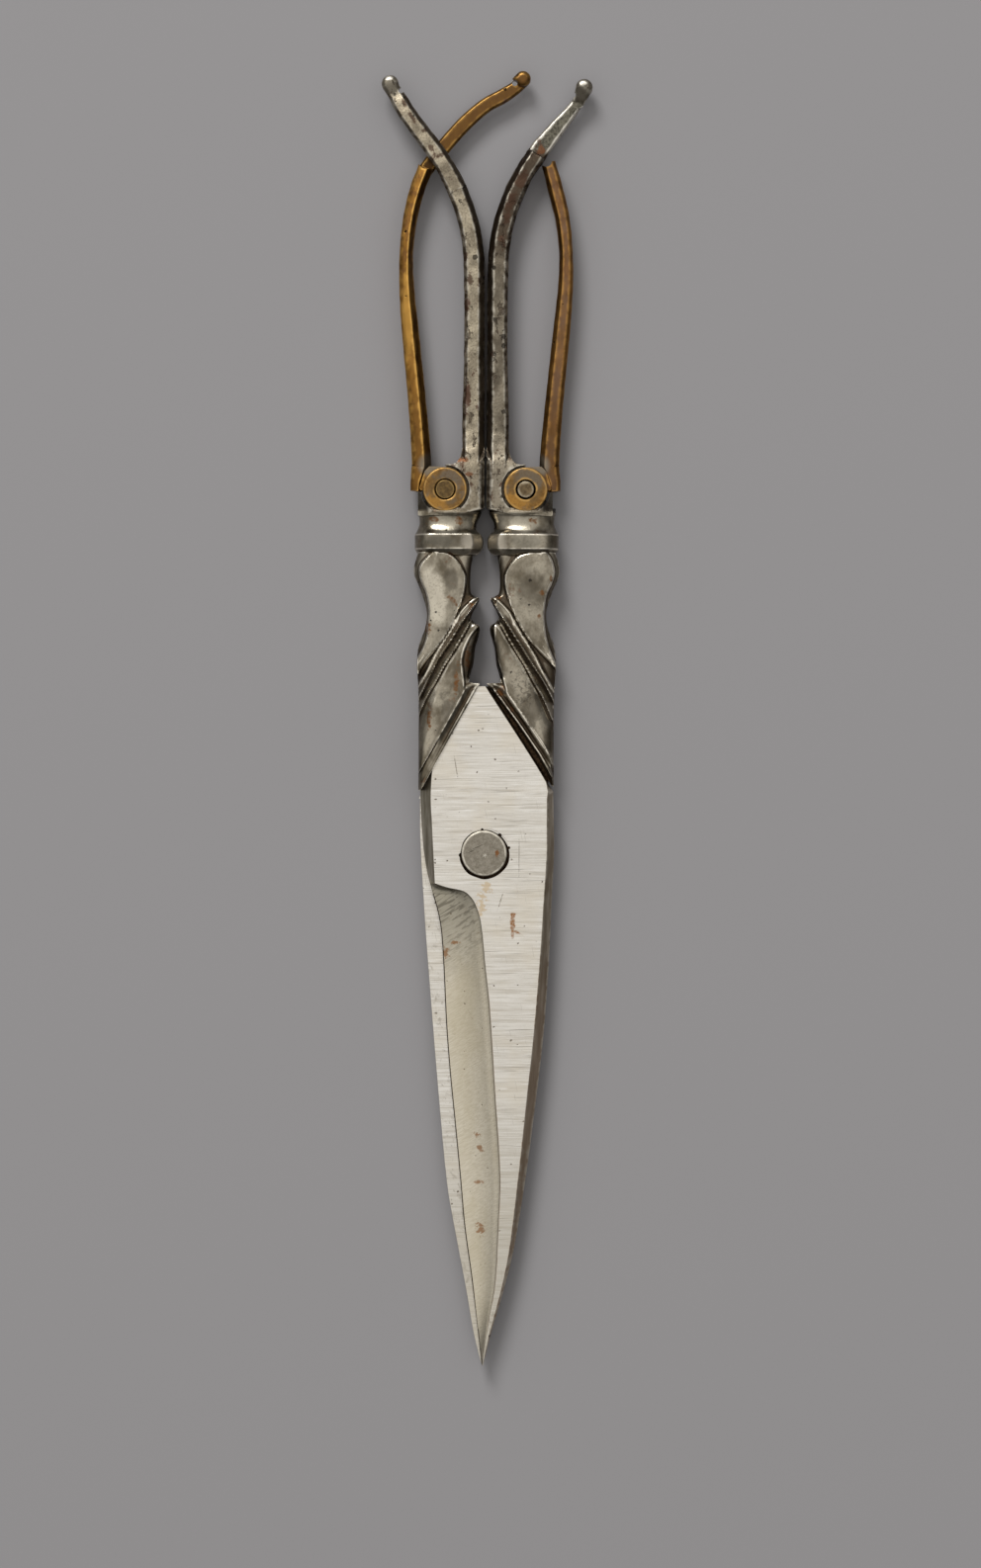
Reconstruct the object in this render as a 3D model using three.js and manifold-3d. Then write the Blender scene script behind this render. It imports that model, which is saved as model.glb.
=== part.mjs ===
// Folding sewing scissors, shut, lying flat. Sizes are in millimetres.
// X points right, Y from the blade tips to the finger loops, Z up from the table.
// The origin is on the axis of the main rivet, in the flat of its back head.
// Both steel halves are drawn as the front one: blade above the middle plane with its
// spine at +X, handle at -X. The rear half is the same drawing turned over about Y.
import * as THREE from 'three';
import { mergeVertices } from 'three/addons/utils/BufferGeometryUtils.js';
import Module from 'manifold-3d';

const wasm = await Module();
wasm.setup();

// General fits
const clearance = 0.3;
const bladeGap = 0.3;
const overlap = 0.3;
const roundSides = 28;

// Blades. Outline points above the main rivet are [Y, X]. Points below it start with the
// share of the blade's length from the rivet to the tip.
const bladeLength = 77.7;
const bladeThickness = 2.05;
const tipThickness = 0.75;
const taperStart = 0.26;
const spineLand = 0.75;
const tangLand = 0.7;
const edgeLand = 0.12;
const hollowDepth = 0.3;
const hollowReach = 5;
const tipHalfWidth = 0.12;
const heel = 0.08;
const heelOut = 7.75;
const grindTop = 0.059;
const spines = {
  front: [[9.2, 10.45], [0.2, 10.6], ...below([[0.081, 10.3], [0.225, 9.8], [0.36, 9.05],
    [0.495, 7.85], [0.63, 6.5], [0.773, 4.7], [0.855, 3.15], [0.937, 1.3], [0.99, 0.3], [1, tipHalfWidth]])],
  rear: [[8.2, 9.75], [2.2, 9.7], ...below([[0.104, 9.1], [0.225, 8.4], [0.335, 7.7],
    [0.47, 6.8], [0.651, 5.4], [0.746, 4.1], [0.842, 2.65], [0.937, 1.35], [0.99, 0.35], [1, tipHalfWidth]])],
};
const spineBevel = [[25, 0.4], [10, 0.9],
  ...below([[0.065, 1.15], [0.386, 1.5], [0.643, 1.1], [0.85, 0.4], [1, 0.06]])];
const tangSide = [[8.8, -9.7], [3, -9.4], ...below([[0.026, -8.8], [heel, -heelOut]])];
const tangFlat = [[25, -1.5], [20.6, -4.6], [15, -7.4], [9.3, -8.1], [4.3, -7.9],
  ...below([[grindTop, -7.45]])];
const tangOverlap = 1.2;
const cuttingEdge = below([[heel, -heelOut], [0.112, -7.05], [0.15, -6.5], [0.22, -6.1], [0.335, -5.65],
  [0.425, -5.1], [0.533, -4.25], [0.63, -3.5], [0.728, -2.8], [0.829, -1.7], [0.923, -0.8],
  [1, -tipHalfWidth]]);
const grindRidge = below([[grindTop, -7.45], [0.067, -5.5], [0.073, -3.3], [0.085, -2.05], [0.104, -1.15],
  [0.135, -0.45], [0.22, 0.25], [0.296, 0.9], [0.468, 1.8], [0.63, 2.6], [0.72, 2.4], [0.842, 1.9],
  [0.909, 1], [0.978, 0.2], [1, 0.02]]);
const tangStations = [25, 22, 18, 14, 10.4, 5, 1];
const bladeStations = [0.04, 0.058, 0.063, 0.067, 0.072, heel, 0.088, 0.104, 0.135, 0.174, 0.232, 0.309,
  0.386, 0.463, 0.54, 0.618, 0.695, 0.772, 0.836, 0.9, 0.952, 0.985, 1];

// Shanks. Each half has a V that the other blade lies in. Outline points are [share of the
// shank's rise from the top of the V to the collar, distance from the axis].
const veeTop = 25.6;
const vee = {
  front: { topOut: 0.8, footY: 9.2, footOut: 9.8 },
  rear: { topOut: 0.4, footY: 9.9, footOut: 10.45 },
};
const veeLedge = 0.1;
const outerExtra = { front: 0, rear: 0.5 };
const shankRise = 20;
const shankStep = 0.8;
const shankEdge = 1.1;
const shankRoundness = 2.6;
const shankOuter = rising([[-0.82, 10], [-0.2, 10], [0, 10.1], [0.155, 10.3], [0.295, 10], [0.42, 9.1],
  [0.545, 8.8], [0.705, 9.7], [0.85, 10.8], [1, 10.2]]);
const shankInner = rising([[0, 2.6], [0.045, 2.15], [0.25, 1.4], [0.39, 0.8], [0.455, 0.85],
  [0.52, 1.85], [0.66, 0.85], [0.71, 2.1], [0.85, 2.2], [1, 1.8]]);
const ridgeHeight = 0.45;
const ridgeWidth = 1.1;
const ridgeLines = [
  rising([[0.65, 1.2], [0.09, 9.6]]),
  rising([[0.53, 2.4], [-0.08, 9.7]]),
  rising([[0.44, 1.4], [-0.63, 9.7]]),
  rising([[-0.02, 1.6], [-0.78, 10.1]]),
];
const shankRows = 30;
const shankColumns = 12;

// Heights that the blades and the washers set, from the middle plane
const bladeFloor = bladeGap / 2;
const bladeTop = bladeFloor + bladeThickness;
const shankHalf = bladeTop + shankStep;
const collarHalf = shankHalf + 0.2;
const webHalf = 0.8;
const eyeThickness = 0.8;
const washerThickness = 0.7;
const washerProud = 0.15;
const eyeFloor = webHalf + clearance;
const washerFloor = eyeFloor + eyeThickness + clearance;
const washerTop = washerFloor + washerThickness;
const blockHalf = washerTop - washerProud;
const lapFloor = clearance / 2;

// Collars: each row is [rise above the shank, inner distance, outer distance, half thickness]
const shankTop = veeTop + shankRise;
const collarRows = [[-overlap, 1.8, 10.1, shankHalf - 0.55], [0.5, 0.45, 10.8, collarHalf],
  [2.7, 0.3, 10.8, collarHalf], [3.4, 1.1, 10.3, collarHalf - 0.45], [4.4, 1.7, 10, collarHalf - 0.75],
  [5.4, 1.3, 10.1, collarHalf - 0.6], [6, 0.7, 10.25, collarHalf - 0.3]];
const collarCorner = 0.38;
const collarSide = 0.45;

// Hinge of each finger bow
const hinge = { out: 6.1, y: shankTop + 9.5 };
const eyeRadius = 3.4;
const washerRadius = 3.2;
const hingePinRadius = 1.25;
const pinHoleRadius = hingePinRadius + clearance;
const pocketRadius = eyeRadius + clearance;
const blockFoot = shankTop + collarRows.at(-1)[0] - overlap;
const blockTop = hinge.y + pocketRadius + 0.1;
const blockOut = hinge.out + 4.1;
const lipTop = hinge.y - 1.8;
const flare = { out: 5.2, armOut: 3.6, rise: 2.6 };

// Steel arms: centre line as [distance from the axis, rise above the hinge, width]
const armHalf = 1.9;
const armBevel = 0.75;
const armSteps = 34;
const armPath = [[1.85, 2.4, 3.4], [1.85, 10.9, 3.4], [1.75, 20.9, 3.15], [1.8, 32.9, 3.2],
  [2.15, 37.9, 3.2], [3.05, 41.9, 3.1], [4.35, 45.4, 3.1], [6.1, 48.8, 2.9], [8.1, 51.8, 2.75],
  [10.3, 54.7, 2.6], [12.3, 57.4, 2.3], [13.9, 59.9, 1.5], [14.7, 61.3, 1.4]];
const knob = { radius: 1.15, below: 1.1, sunk: 0.1 };
const lapStart = { front: [6.2, 48], rear: [7.4, 51] };
const lapTurn = 0.5;

// Brass bows: centre line as [distance beyond the hinge, rise above it, width]
const bowHalf = 1.6;
const bowBevel = 0.7;
const bowSteps = 30;
const bowPath = [[4.05, -0.1, 1.3], [3.9, 1.9, 2.2], [3.45, 3.9, 2.9], [4, 9.9, 2.85], [4.7, 17.4, 2.7],
  [5.45, 24.9, 2.6], [5.95, 30.9, 2.3], [6, 35.9, 2.1], [5.5, 40.9, 2.2], [4.45, 45.4, 2.3]];
const bowEnd = { front: [3.1, 49, 2.3], rear: [3.3, 49.7, 2.1] };
const eyeTab = [[2.3, 3.7], [3.5, 3.7], [4.1, 0], [3.3, -0.2], [0, 0]];
const tonguePath = [[3.5, 48.2, 2.2], [1.7, 50.6, 2.3], [-0.6, 53.4, 2.3], [-3.1, 56.1, 2.3],
  [-5.9, 58.5, 2.2], [-8.4, 60.1, 2], [-10.5, 61.5, 1.3], [-11.5, 62.5, 1.3]];
const tongueBevel = 0.35;
const tongueSteps = 12;
const hook = { radius: 1.1, above: 0.9 };
const tipSides = 16;
const narrowBevel = 0.6;

// Main rivet
const rivetShank = 2.2;
const rivetHead = 3.35;
const rivetRecess = 1;
const rivetProud = 0.3;
const rivetBackHead = 3.6;

// Outline points in millimetres from the shares that they are written in
function below(points) {
  return points.map(([share, x]) => [-share * bladeLength, x]);
}

function rising(points) {
  return points.map(([share, out]) => [veeTop + share * shankRise, out]);
}

// Smooth function of Y through a list of [Y, value] pairs, in either order
function along(list) {
  const points = [...list].sort((a, b) => a[0] - b[0]);
  const slope = (i) => {
    const before = points[Math.max(i - 1, 0)];
    const after = points[Math.min(i + 1, points.length - 1)];
    return (after[1] - before[1]) / (after[0] - before[0]);
  };
  return (y) => {
    const last = points.length - 2;
    const i = Math.min(Math.max(points.findIndex((p) => p[0] > y) - 1, 0), last);
    const at = y >= points[last + 1][0] ? last : i;
    const [a, b] = [points[at], points[at + 1]];
    const step = b[0] - a[0];
    const t = THREE.MathUtils.clamp((y - a[0]) / step, 0, 1);
    const rise = (2 * t - 3) * t * t;
    return (1 + rise) * a[1] - rise * b[1]
      + step * t * (t - 1) * ((t - 1) * slope(at) + t * slope(at + 1));
  };
}

// Closed body from rings of points, all with the same count and in the same order
function loft(rings) {
  const count = rings[0].length;
  const positions = rings.flat().flatMap((p) => [p.x, p.y, p.z]);
  const faces = [];
  for (let i = 0; i + 1 < rings.length; i += 1) {
    for (let j = 0; j < count; j += 1) {
      const a = i * count + j;
      const b = i * count + ((j + 1) % count);
      faces.push(a, b, a + count, b, b + count, a + count);
    }
  }
  const cap = (ring, start, last) => {
    const flat = ring.map((p) => new THREE.Vector2(p.x + p.y / 2, p.z));
    const turned = THREE.ShapeUtils.isClockWise(flat) === last;
    for (const [a, b, c] of THREE.ShapeUtils.triangulateShape(flat, [])) {
      faces.push(start + a, start + (turned ? c : b), start + (turned ? b : c));
    }
  };
  cap(rings[0], 0, false);
  cap(rings.at(-1), (rings.length - 1) * count, true);
  const geometry = new THREE.BufferGeometry();
  geometry.setAttribute('position', new THREE.Float32BufferAttribute(positions, 3));
  geometry.setIndex(faces);
  return outward(geometry);
}

// The same body with its faces turned outwards
function outward(geometry) {
  const position = geometry.attributes.position;
  const index = geometry.index.array;
  const [a, b, c] = [new THREE.Vector3(), new THREE.Vector3(), new THREE.Vector3()];
  let volume = 0;
  for (let i = 0; i < index.length; i += 3) {
    a.fromBufferAttribute(position, index[i]);
    b.fromBufferAttribute(position, index[i + 1]);
    c.fromBufferAttribute(position, index[i + 2]);
    volume += a.dot(b.cross(c));
  }
  if (volume < 0) {
    for (let i = 0; i < index.length; i += 3) {
      [index[i + 1], index[i + 2]] = [index[i + 2], index[i + 1]];
    }
  }
  return geometry;
}

function toSolid(geometry) {
  const plain = geometry.clone();
  plain.deleteAttribute('normal');
  plain.deleteAttribute('uv');
  const merged = mergeVertices(plain);
  return new wasm.Manifold(new wasm.Mesh({
    numProp: 3,
    vertProperties: Float32Array.from(merged.attributes.position.array),
    triVerts: Uint32Array.from(merged.index.array),
  }));
}

function toGeometry(solid) {
  const mesh = solid.getMesh();
  const geometry = new THREE.BufferGeometry();
  geometry.setAttribute('position', new THREE.BufferAttribute(mesh.vertProperties, 3));
  geometry.setIndex(new THREE.BufferAttribute(mesh.triVerts, 1));
  geometry.computeVertexNormals();
  return geometry;
}

// Upright disc with its axis along Z at distance `out` on the handle side
function disc(out, y, radius, low, high, sides = roundSides) {
  const geometry = new THREE.CylinderGeometry(radius, radius, high - low, sides);
  geometry.rotateX(Math.PI / 2);
  geometry.translate(-out, y, (low + high) / 2);
  return toSolid(geometry);
}

// Upright prism over an outline of [distance from the axis, Y] points on the handle side
function prism(outline, low, high) {
  const shape = new THREE.Shape(outline.map(([out, y]) => new THREE.Vector2(-out, y)));
  const geometry = new THREE.ExtrudeGeometry(shape, { depth: high - low, bevelEnabled: false });
  geometry.translate(0, 0, low);
  return toSolid(geometry);
}

// Bar with bevelled edges along a path of [distance from the axis, Y, width] points
function bar(path, low, high, bevel, steps) {
  const centre = new THREE.CatmullRomCurve3(path.map(([out, y, width]) => new THREE.Vector3(-out, y, width)));
  const rings = [];
  for (let i = 0; i <= steps; i += 1) {
    const at = centre.getPoint(i / steps);
    const ahead = centre.getTangent(i / steps).setZ(0).normalize();
    const side = new THREE.Vector3(ahead.y, -ahead.x, 0);
    const half = at.z / 2;
    const cut = Math.min(bevel, half * narrowBevel);
    const section = [[-half, low + cut], [-half, high - cut], [cut - half, high], [half - cut, high],
      [half, high - cut], [half, low + cut], [half - cut, low], [cut - half, low]];
    rings.push(section.map(([across, z]) => new THREE.Vector3(
      at.x + side.x * across, at.y + side.y * across, z)));
  }
  return toSolid(loft(rings));
}

// Distance from the axis to the edge of a half's V
function veeEdge(half, y) {
  const { topOut, footY, footOut } = vee[half];
  return topOut + (veeTop - y) * (footOut - topOut) / (veeTop - footY);
}

// Gap along X that leaves the blade its clearance square to the slanting V
function veeGap(half) {
  const { topOut, footY, footOut } = vee[half];
  return clearance * Math.hypot(1, (footOut - topOut) / (veeTop - footY));
}

// Blade with its tang, hollow grind, flat face and bevelled spine
function blade(half) {
  const other = half === 'front' ? 'rear' : 'front';
  const spine = along(spines[half]);
  const bevel = along(spineBevel);
  const side = along(tangSide);
  const flat = along(tangFlat);
  const edge = along(cuttingEdge);
  const ridge = along(grindRidge);
  const shoulder = spines[half][0][0];
  const heelY = -heel * bladeLength;
  const grindY = -grindTop * bladeLength;
  const sliver = 0.02;
  const stations = [...tangStations, ...bladeStations.map((share) => -share * bladeLength),
    shoulder, shoulder + veeLedge].filter((y) => y < veeTop).sort((a, b) => b - a);
  const rings = stations.map((y) => {
    const taper = THREE.MathUtils.clamp((-y / bladeLength - taperStart) / (1 - taperStart), 0, 1);
    const top = THREE.MathUtils.lerp(bladeTop, bladeFloor + tipThickness, taper * taper);
    const inTheVee = y > shoulder;
    const ground = y <= heelY;
    const hollowed = y < grindY;
    const right = inTheVee ? veeEdge(other, y) - veeGap(other) : spine(y);
    const covered = Math.max(-veeEdge(half, y) - tangOverlap, side(shoulder));
    const tang = inTheVee ? covered : side(y);
    const left = ground ? edge(y) : tang;
    const crest = hollowed ? Math.max(ridge(y), left + sliver) : Math.max(flat(y), left + overlap);
    const fade = THREE.MathUtils.clamp((y - heelY) / (shoulder - heelY), 0, 1);
    const land = THREE.MathUtils.lerp(edgeLand, tangLand, Math.sqrt(fade));
    const sag = hollowed ? hollowDepth * Math.min(1, (crest - left) / hollowReach) : 0;
    const inset = Math.min(bevel(y), (right - crest) * 0.8);
    const wall = Math.min(bladeFloor + spineLand, top - 0.2);
    const section = [[left, bladeFloor], [left, bladeFloor + land],
      [(left + crest) / 2, (bladeFloor + land + top) / 2 - sag], [crest, top],
      [right - inset, top], [right, wall], [right, bladeFloor]];
    return section.map(([x, z]) => new THREE.Vector3(x, y, z));
  });
  return toSolid(loft(rings));
}

// Height that the carved ridges add at a place on the shank
function carving(out, y) {
  const heights = ridgeLines.map(([[fromY, fromOut], [toY, toOut]]) => {
    const length = Math.hypot(toY - fromY, toOut - fromOut);
    const t = ((y - fromY) * (toY - fromY) + (out - fromOut) * (toOut - fromOut)) / length;
    const away = Math.abs((y - fromY) * (toOut - fromOut) - (out - fromOut) * (toY - fromY)) / length;
    const inside = t > -ridgeWidth && t < length + ridgeWidth;
    return inside ? Math.max(0, 1 - away / ridgeWidth) : 0;
  });
  return ridgeHeight * (Math.max(...heights) - 1);
}

// Carved shank, the same on both faces, from the foot of the V up to the collar
function shank(half) {
  const { footY } = vee[half];
  const outer = along(shankOuter);
  const inner = along(shankInner);
  const rings = [];
  for (let row = 0; row <= shankRows; row += 1) {
    const y = THREE.MathUtils.lerp(footY + clearance, shankTop, row / shankRows);
    const inTheVee = y < veeTop + veeLedge;
    const from = inTheVee ? veeEdge(half, y) : inner(y);
    const to = Math.max(outer(y) + outerExtra[half], from + clearance);
    const ring = [];
    for (let column = 0; column <= shankColumns; column += 1) {
      const u = (1 - Math.cos(Math.PI * column / shankColumns)) / 2;
      const out = THREE.MathUtils.lerp(from, to, u);
      const fall = inTheVee ? u : Math.abs(2 * u - 1);
      const crown = Math.pow(1 - Math.pow(fall, shankRoundness), 1 / shankRoundness);
      const height = THREE.MathUtils.lerp(shankEdge, shankHalf, crown) + carving(out, y) * crown;
      ring.push(new THREE.Vector3(-out, y, height));
    }
    rings.push([...ring, ...ring.toReversed().map((p) => new THREE.Vector3(p.x, p.y, -p.z))]);
  }
  return toSolid(loft(rings));
}

// Collar with a flat-sided band under a waisted neck
function collar(which) {
  const rings = collarRows.map(([rise, from, outer, half]) => {
    const to = outer + outerExtra[which];
    const centre = (from + to) / 2;
    const reach = (to - from) / 2;
    const corner = collarCorner * reach;
    const side = collarSide * half;
    const section = [[reach, side], [reach - corner, half], [corner - reach, half], [-reach, side],
      [-reach, -side], [corner - reach, -half], [reach - corner, -half], [reach, -side]];
    return section.map(([across, z]) => new THREE.Vector3(-centre - across, shankTop + rise, z));
  });
  return toSolid(loft(rings));
}

// Block that holds the bow's hinge, with a pocket on each face and a web between them
function hingeBlock() {
  const inner = clearance / 2;
  const armJoin = blockTop + flare.rise;
  const outline = [[inner, blockFoot], [blockOut, blockFoot], [blockOut, lipTop], [hinge.out, lipTop],
    [hinge.out, blockTop], [flare.out, blockTop], [flare.armOut, armJoin], [inner, armJoin]];
  let block = prism(outline, -blockHalf, blockHalf);
  for (const face of [-1, 1]) {
    const [low, high] = span(face, webHalf, blockHalf + 1);
    block = block.subtract(disc(hinge.out, hinge.y, pocketRadius, low, high));
  }
  const web = disc(hinge.out, hinge.y, eyeRadius, -webHalf, webHalf);
  return block.add(web).subtract(disc(hinge.out, hinge.y, pinHoleRadius, -washerTop, washerTop));
}

// Steel arm that curves out over the bow, thinned to its front half where the bow crosses it
function steelArm(half) {
  const path = armPath.map(([out, rise, width]) => [out, hinge.y + rise, width]);
  const arm = bar(path, -armHalf, armHalf, armBevel, armSteps);
  const [startOut, startRise] = lapStart[half];
  const [c, s] = [Math.cos(lapTurn), Math.sin(lapTurn)];
  const turn = (a, b) => [startOut + a * c + b * s, hinge.y + startRise - a * s + b * c];
  const reach = 20;
  const behind = prism([turn(-reach, 0), turn(reach, 0), turn(reach, reach), turn(-reach, reach)],
    -armHalf - 1, lapFloor);
  const [endOut, endY] = path.at(-1);
  const ball = disc(endOut, endY, knob.radius, -knob.below, armHalf - knob.sunk, tipSides);
  return arm.subtract(behind).add(ball);
}

function steelHalf(half) {
  const hole = disc(0, 0, rivetShank + clearance, -1, bladeTop + 1);
  const recess = disc(0, 0, rivetHead + clearance, bladeTop - rivetRecess, bladeTop + 1);
  const handle = shank(half).add(collar(half)).add(hingeBlock()).add(steelArm(half));
  const solid = blade(half).add(handle).subtract(hole);
  return half === 'front' ? solid.subtract(recess) : solid;
}

// Brass bow with a forked eye. The left one still has the tongue and hook that the right one lost.
function bow(half) {
  const place = ([beyond, rise, ...width]) => [hinge.out + beyond, hinge.y + rise, ...width];
  let solid = bar([...bowPath, bowEnd[half]].map(place), -bowHalf, bowHalf, bowBevel, bowSteps);
  for (const face of [-1, 1]) {
    const [low, high] = span(face, eyeFloor, eyeFloor + eyeThickness);
    solid = solid.add(disc(hinge.out, hinge.y, eyeRadius, low, high));
    solid = solid.add(prism([[0, eyeRadius], ...eyeTab].map(place), low, high));
  }
  const crotch = disc(hinge.out, hinge.y, pocketRadius, -eyeFloor, eyeFloor);
  const hole = disc(hinge.out, hinge.y, pinHoleRadius, -washerTop, washerTop);
  solid = solid.subtract(crotch).subtract(hole);
  if (half === 'rear') return solid;
  const tongue = bar(tonguePath.map(place), -bowHalf, -lapFloor, tongueBevel, tongueSteps);
  const [endOut, endY] = place(tonguePath.at(-1));
  return solid.add(tongue).add(disc(endOut, endY, hook.radius, -bowHalf, hook.above, tipSides));
}

// Lowest and highest Z of a layer on the front or the back face
function span(face, inner, outer) {
  return face > 0 ? [inner, outer] : [-outer, -inner];
}

function washer(face) {
  const [low, high] = span(face, washerFloor, washerTop);
  const plate = disc(hinge.out, hinge.y, washerRadius, low, high);
  return plate.subtract(disc(hinge.out, hinge.y, pinHoleRadius, low - 1, high + 1));
}

function mainRivet() {
  const head = disc(0, 0, rivetHead, bladeTop - rivetRecess + clearance, bladeTop + rivetProud);
  const shaft = disc(0, 0, rivetShank, -bladeTop - clearance, bladeTop);
  const backHead = disc(0, 0, rivetBackHead, -collarHalf, -bladeTop - clearance);
  return head.add(shaft).add(backHead);
}

const steel = { color: 0xb4afa4, roughness: 0.38, metalness: 1 };
const brass = { color: 0x9a7236, roughness: 0.42, metalness: 1 };
const tarnishedBrass = { color: 0x8c6640, roughness: 0.5, metalness: 1 };
const wornSteel = { color: 0x8b857a, roughness: 0.5, metalness: 1 };

function piece(name, solid, finish) {
  const mesh = new THREE.Mesh(toGeometry(solid), new THREE.MeshStandardMaterial(finish));
  mesh.name = name;
  return mesh;
}

// One half with its bow and hinge, drawn as the front half
function half(which, side) {
  const group = new THREE.Group();
  const pin = disc(hinge.out, hinge.y, hingePinRadius, -washerTop, washerTop);
  const turnedOver = which === 'rear';
  group.add(piece(`${which}_steel_half`, steelHalf(which), steel));
  group.add(piece(`${side}_brass_bow`, bow(which), brass));
  group.add(piece(`${side}_hinge_pin`, pin, wornSteel));
  group.add(piece(`${side}_front_washer`, washer(turnedOver ? -1 : 1), tarnishedBrass));
  group.add(piece(`${side}_back_washer`, washer(turnedOver ? 1 : -1), tarnishedBrass));
  group.rotation.y = turnedOver ? Math.PI : 0;
  return group;
}

const scissors = new THREE.Group();
scissors.add(half('front', 'left'), half('rear', 'right'), piece('main_rivet', mainRivet(), wornSteel));
scissors.position.z = collarHalf;

export default scissors;
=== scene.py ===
import math
from contextlib import contextmanager

import bmesh
import bpy
import numpy as np
from mathutils import Matrix, Vector


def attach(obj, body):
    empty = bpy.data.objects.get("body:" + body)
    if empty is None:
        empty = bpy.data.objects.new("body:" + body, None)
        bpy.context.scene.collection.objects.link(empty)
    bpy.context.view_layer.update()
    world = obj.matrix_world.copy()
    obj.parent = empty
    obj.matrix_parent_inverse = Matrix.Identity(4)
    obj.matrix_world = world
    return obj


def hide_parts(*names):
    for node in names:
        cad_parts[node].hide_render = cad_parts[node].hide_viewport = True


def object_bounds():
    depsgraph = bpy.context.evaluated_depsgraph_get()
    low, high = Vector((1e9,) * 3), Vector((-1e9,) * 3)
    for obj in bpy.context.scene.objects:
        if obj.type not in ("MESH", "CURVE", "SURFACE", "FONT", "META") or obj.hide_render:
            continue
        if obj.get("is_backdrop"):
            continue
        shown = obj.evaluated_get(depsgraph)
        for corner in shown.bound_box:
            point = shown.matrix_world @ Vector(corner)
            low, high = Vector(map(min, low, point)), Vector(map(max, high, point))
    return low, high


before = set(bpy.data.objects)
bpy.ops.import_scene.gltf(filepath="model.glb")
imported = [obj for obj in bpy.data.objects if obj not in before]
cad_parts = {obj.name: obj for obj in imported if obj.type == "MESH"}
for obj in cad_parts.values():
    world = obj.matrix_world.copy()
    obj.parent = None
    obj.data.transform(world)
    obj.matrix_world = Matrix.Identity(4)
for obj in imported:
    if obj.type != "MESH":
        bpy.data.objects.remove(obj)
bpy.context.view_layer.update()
scene = bpy.context.scene

# Shapes are drawn in millimetres. X points right, Y to the finger loops, and Z is measured from
# the middle plane between the two blades. A half is drawn as the front one: its handle is at
# -X, and "out" is the distance from the long axis on that side. The rear half is turned over.
MILLIMETRE = 0.001
MIDDLE_PLANE = 3.2

# Blades
BLADE_LENGTH = 77.7
BLADE_FLOOR = 0.15
BLADE_TOP = 2.2
TIP_THICKNESS = 0.75
TAPER_START = 0.26
SPINE_LAND = 0.75
TANG_LAND = 0.7
EDGE_LAND = 0.12
HOLLOW_DEPTH = 0.32
HOLLOW_REACH = 5.0
HOLLOW_COLUMNS = 10
HOLLOW_WALL = 0.07
HEEL_RISE = 0.85
HEEL_END = 20.0
TIP_HALF_WIDTH = 0.12
HEEL = 0.08
HEEL_OUT = 7.75
GRIND_TOP = 0.059
TANG_OVERLAP = 1.2


def below(points):
    """Outline points [Y, X] from points that start with a share of the blade's length."""
    return [(-share * BLADE_LENGTH, x) for share, x in points]


SPINES = {
    "front": [(9.2, 10.45), (0.2, 10.6)] + below([
        (0.081, 10.3), (0.225, 9.8), (0.36, 9.05), (0.495, 7.85), (0.63, 6.5), (0.773, 4.7),
        (0.855, 3.15), (0.937, 1.3), (0.99, 0.3), (1, TIP_HALF_WIDTH)]),
    "rear": [(8.2, 9.75), (2.2, 9.7)] + below([
        (0.104, 9.1), (0.225, 8.4), (0.335, 7.7), (0.47, 6.8), (0.651, 5.4), (0.746, 4.1),
        (0.842, 2.65), (0.937, 1.35), (0.99, 0.35), (1, TIP_HALF_WIDTH)]),
}
SPINE_BEVEL = [(25, 0.12), (11, 0.12), (9.3, 0.8), (7, 1)] + below([
    (0.065, 1.15), (0.386, 1.5), (0.643, 1.1), (0.85, 0.4), (1, 0.06)])
TANG_SIDE = [(8.8, -9.7), (3, -9.4)] + below([(0.026, -8.8), (HEEL, -HEEL_OUT)])
TANG_FLAT = [(25, -1.5), (20.6, -4.6), (15, -7.4), (9.3, -8.1), (4.3, -7.9)] + below([
    (GRIND_TOP, -7.45)])
CUTTING_EDGE = below([
    (HEEL, -HEEL_OUT), (0.112, -7.05), (0.15, -6.5), (0.22, -6.1), (0.335, -5.65), (0.425, -5.1),
    (0.533, -4.25), (0.63, -3.5), (0.728, -2.8), (0.829, -1.7), (0.923, -0.8), (1, -TIP_HALF_WIDTH)])
GRIND_RIDGE = below([
    (GRIND_TOP, -7.45), (0.067, -5.5), (0.073, -3.3), (0.085, -2.05), (0.104, -1.15),
    (0.135, -0.45), (0.22, 0.25), (0.296, 0.9), (0.468, 1.8), (0.63, 2.6), (0.72, 2.4),
    (0.842, 1.9), (0.909, 1), (0.978, 0.2), (1, 0.02)])

# Shanks, from the foot of the V that the other blade lies in up to the collar
CLEARANCE = 0.3
VEE_TOP = 25.6
VEE = {
    "front": {"top_out": 0.8, "foot_y": 9.2, "foot_out": 9.8},
    "rear": {"top_out": 0.4, "foot_y": 9.9, "foot_out": 10.45},
}
VEE_LEDGE = 0.1
VEE_SLOT = 1.3
SLOT_WIDTH = 0.6
SLOT_SHARE = [(10.3, 0.1), (11.5, 0.7), (15, 1), (20, 0.75), (25.6, 0.15)]
OUTER_EXTRA = {"front": 0.0, "rear": 0.5}
SHANK_RISE = 20.0
SHANK_TOP = VEE_TOP + SHANK_RISE
SHANK_HALF = 3.0
SHANK_EDGE = 1.1
SHANK_ROUNDNESS = 2.6
VEE_ROWS = 122
UPPER_ROWS = 150
CARVED_COLUMNS = 58
RIM_COLUMNS = 8


def rising(points):
    """Outline points [Y, out] from points that start with a share of the shank's rise."""
    return [(VEE_TOP + share * SHANK_RISE, out) for share, out in points]


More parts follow.
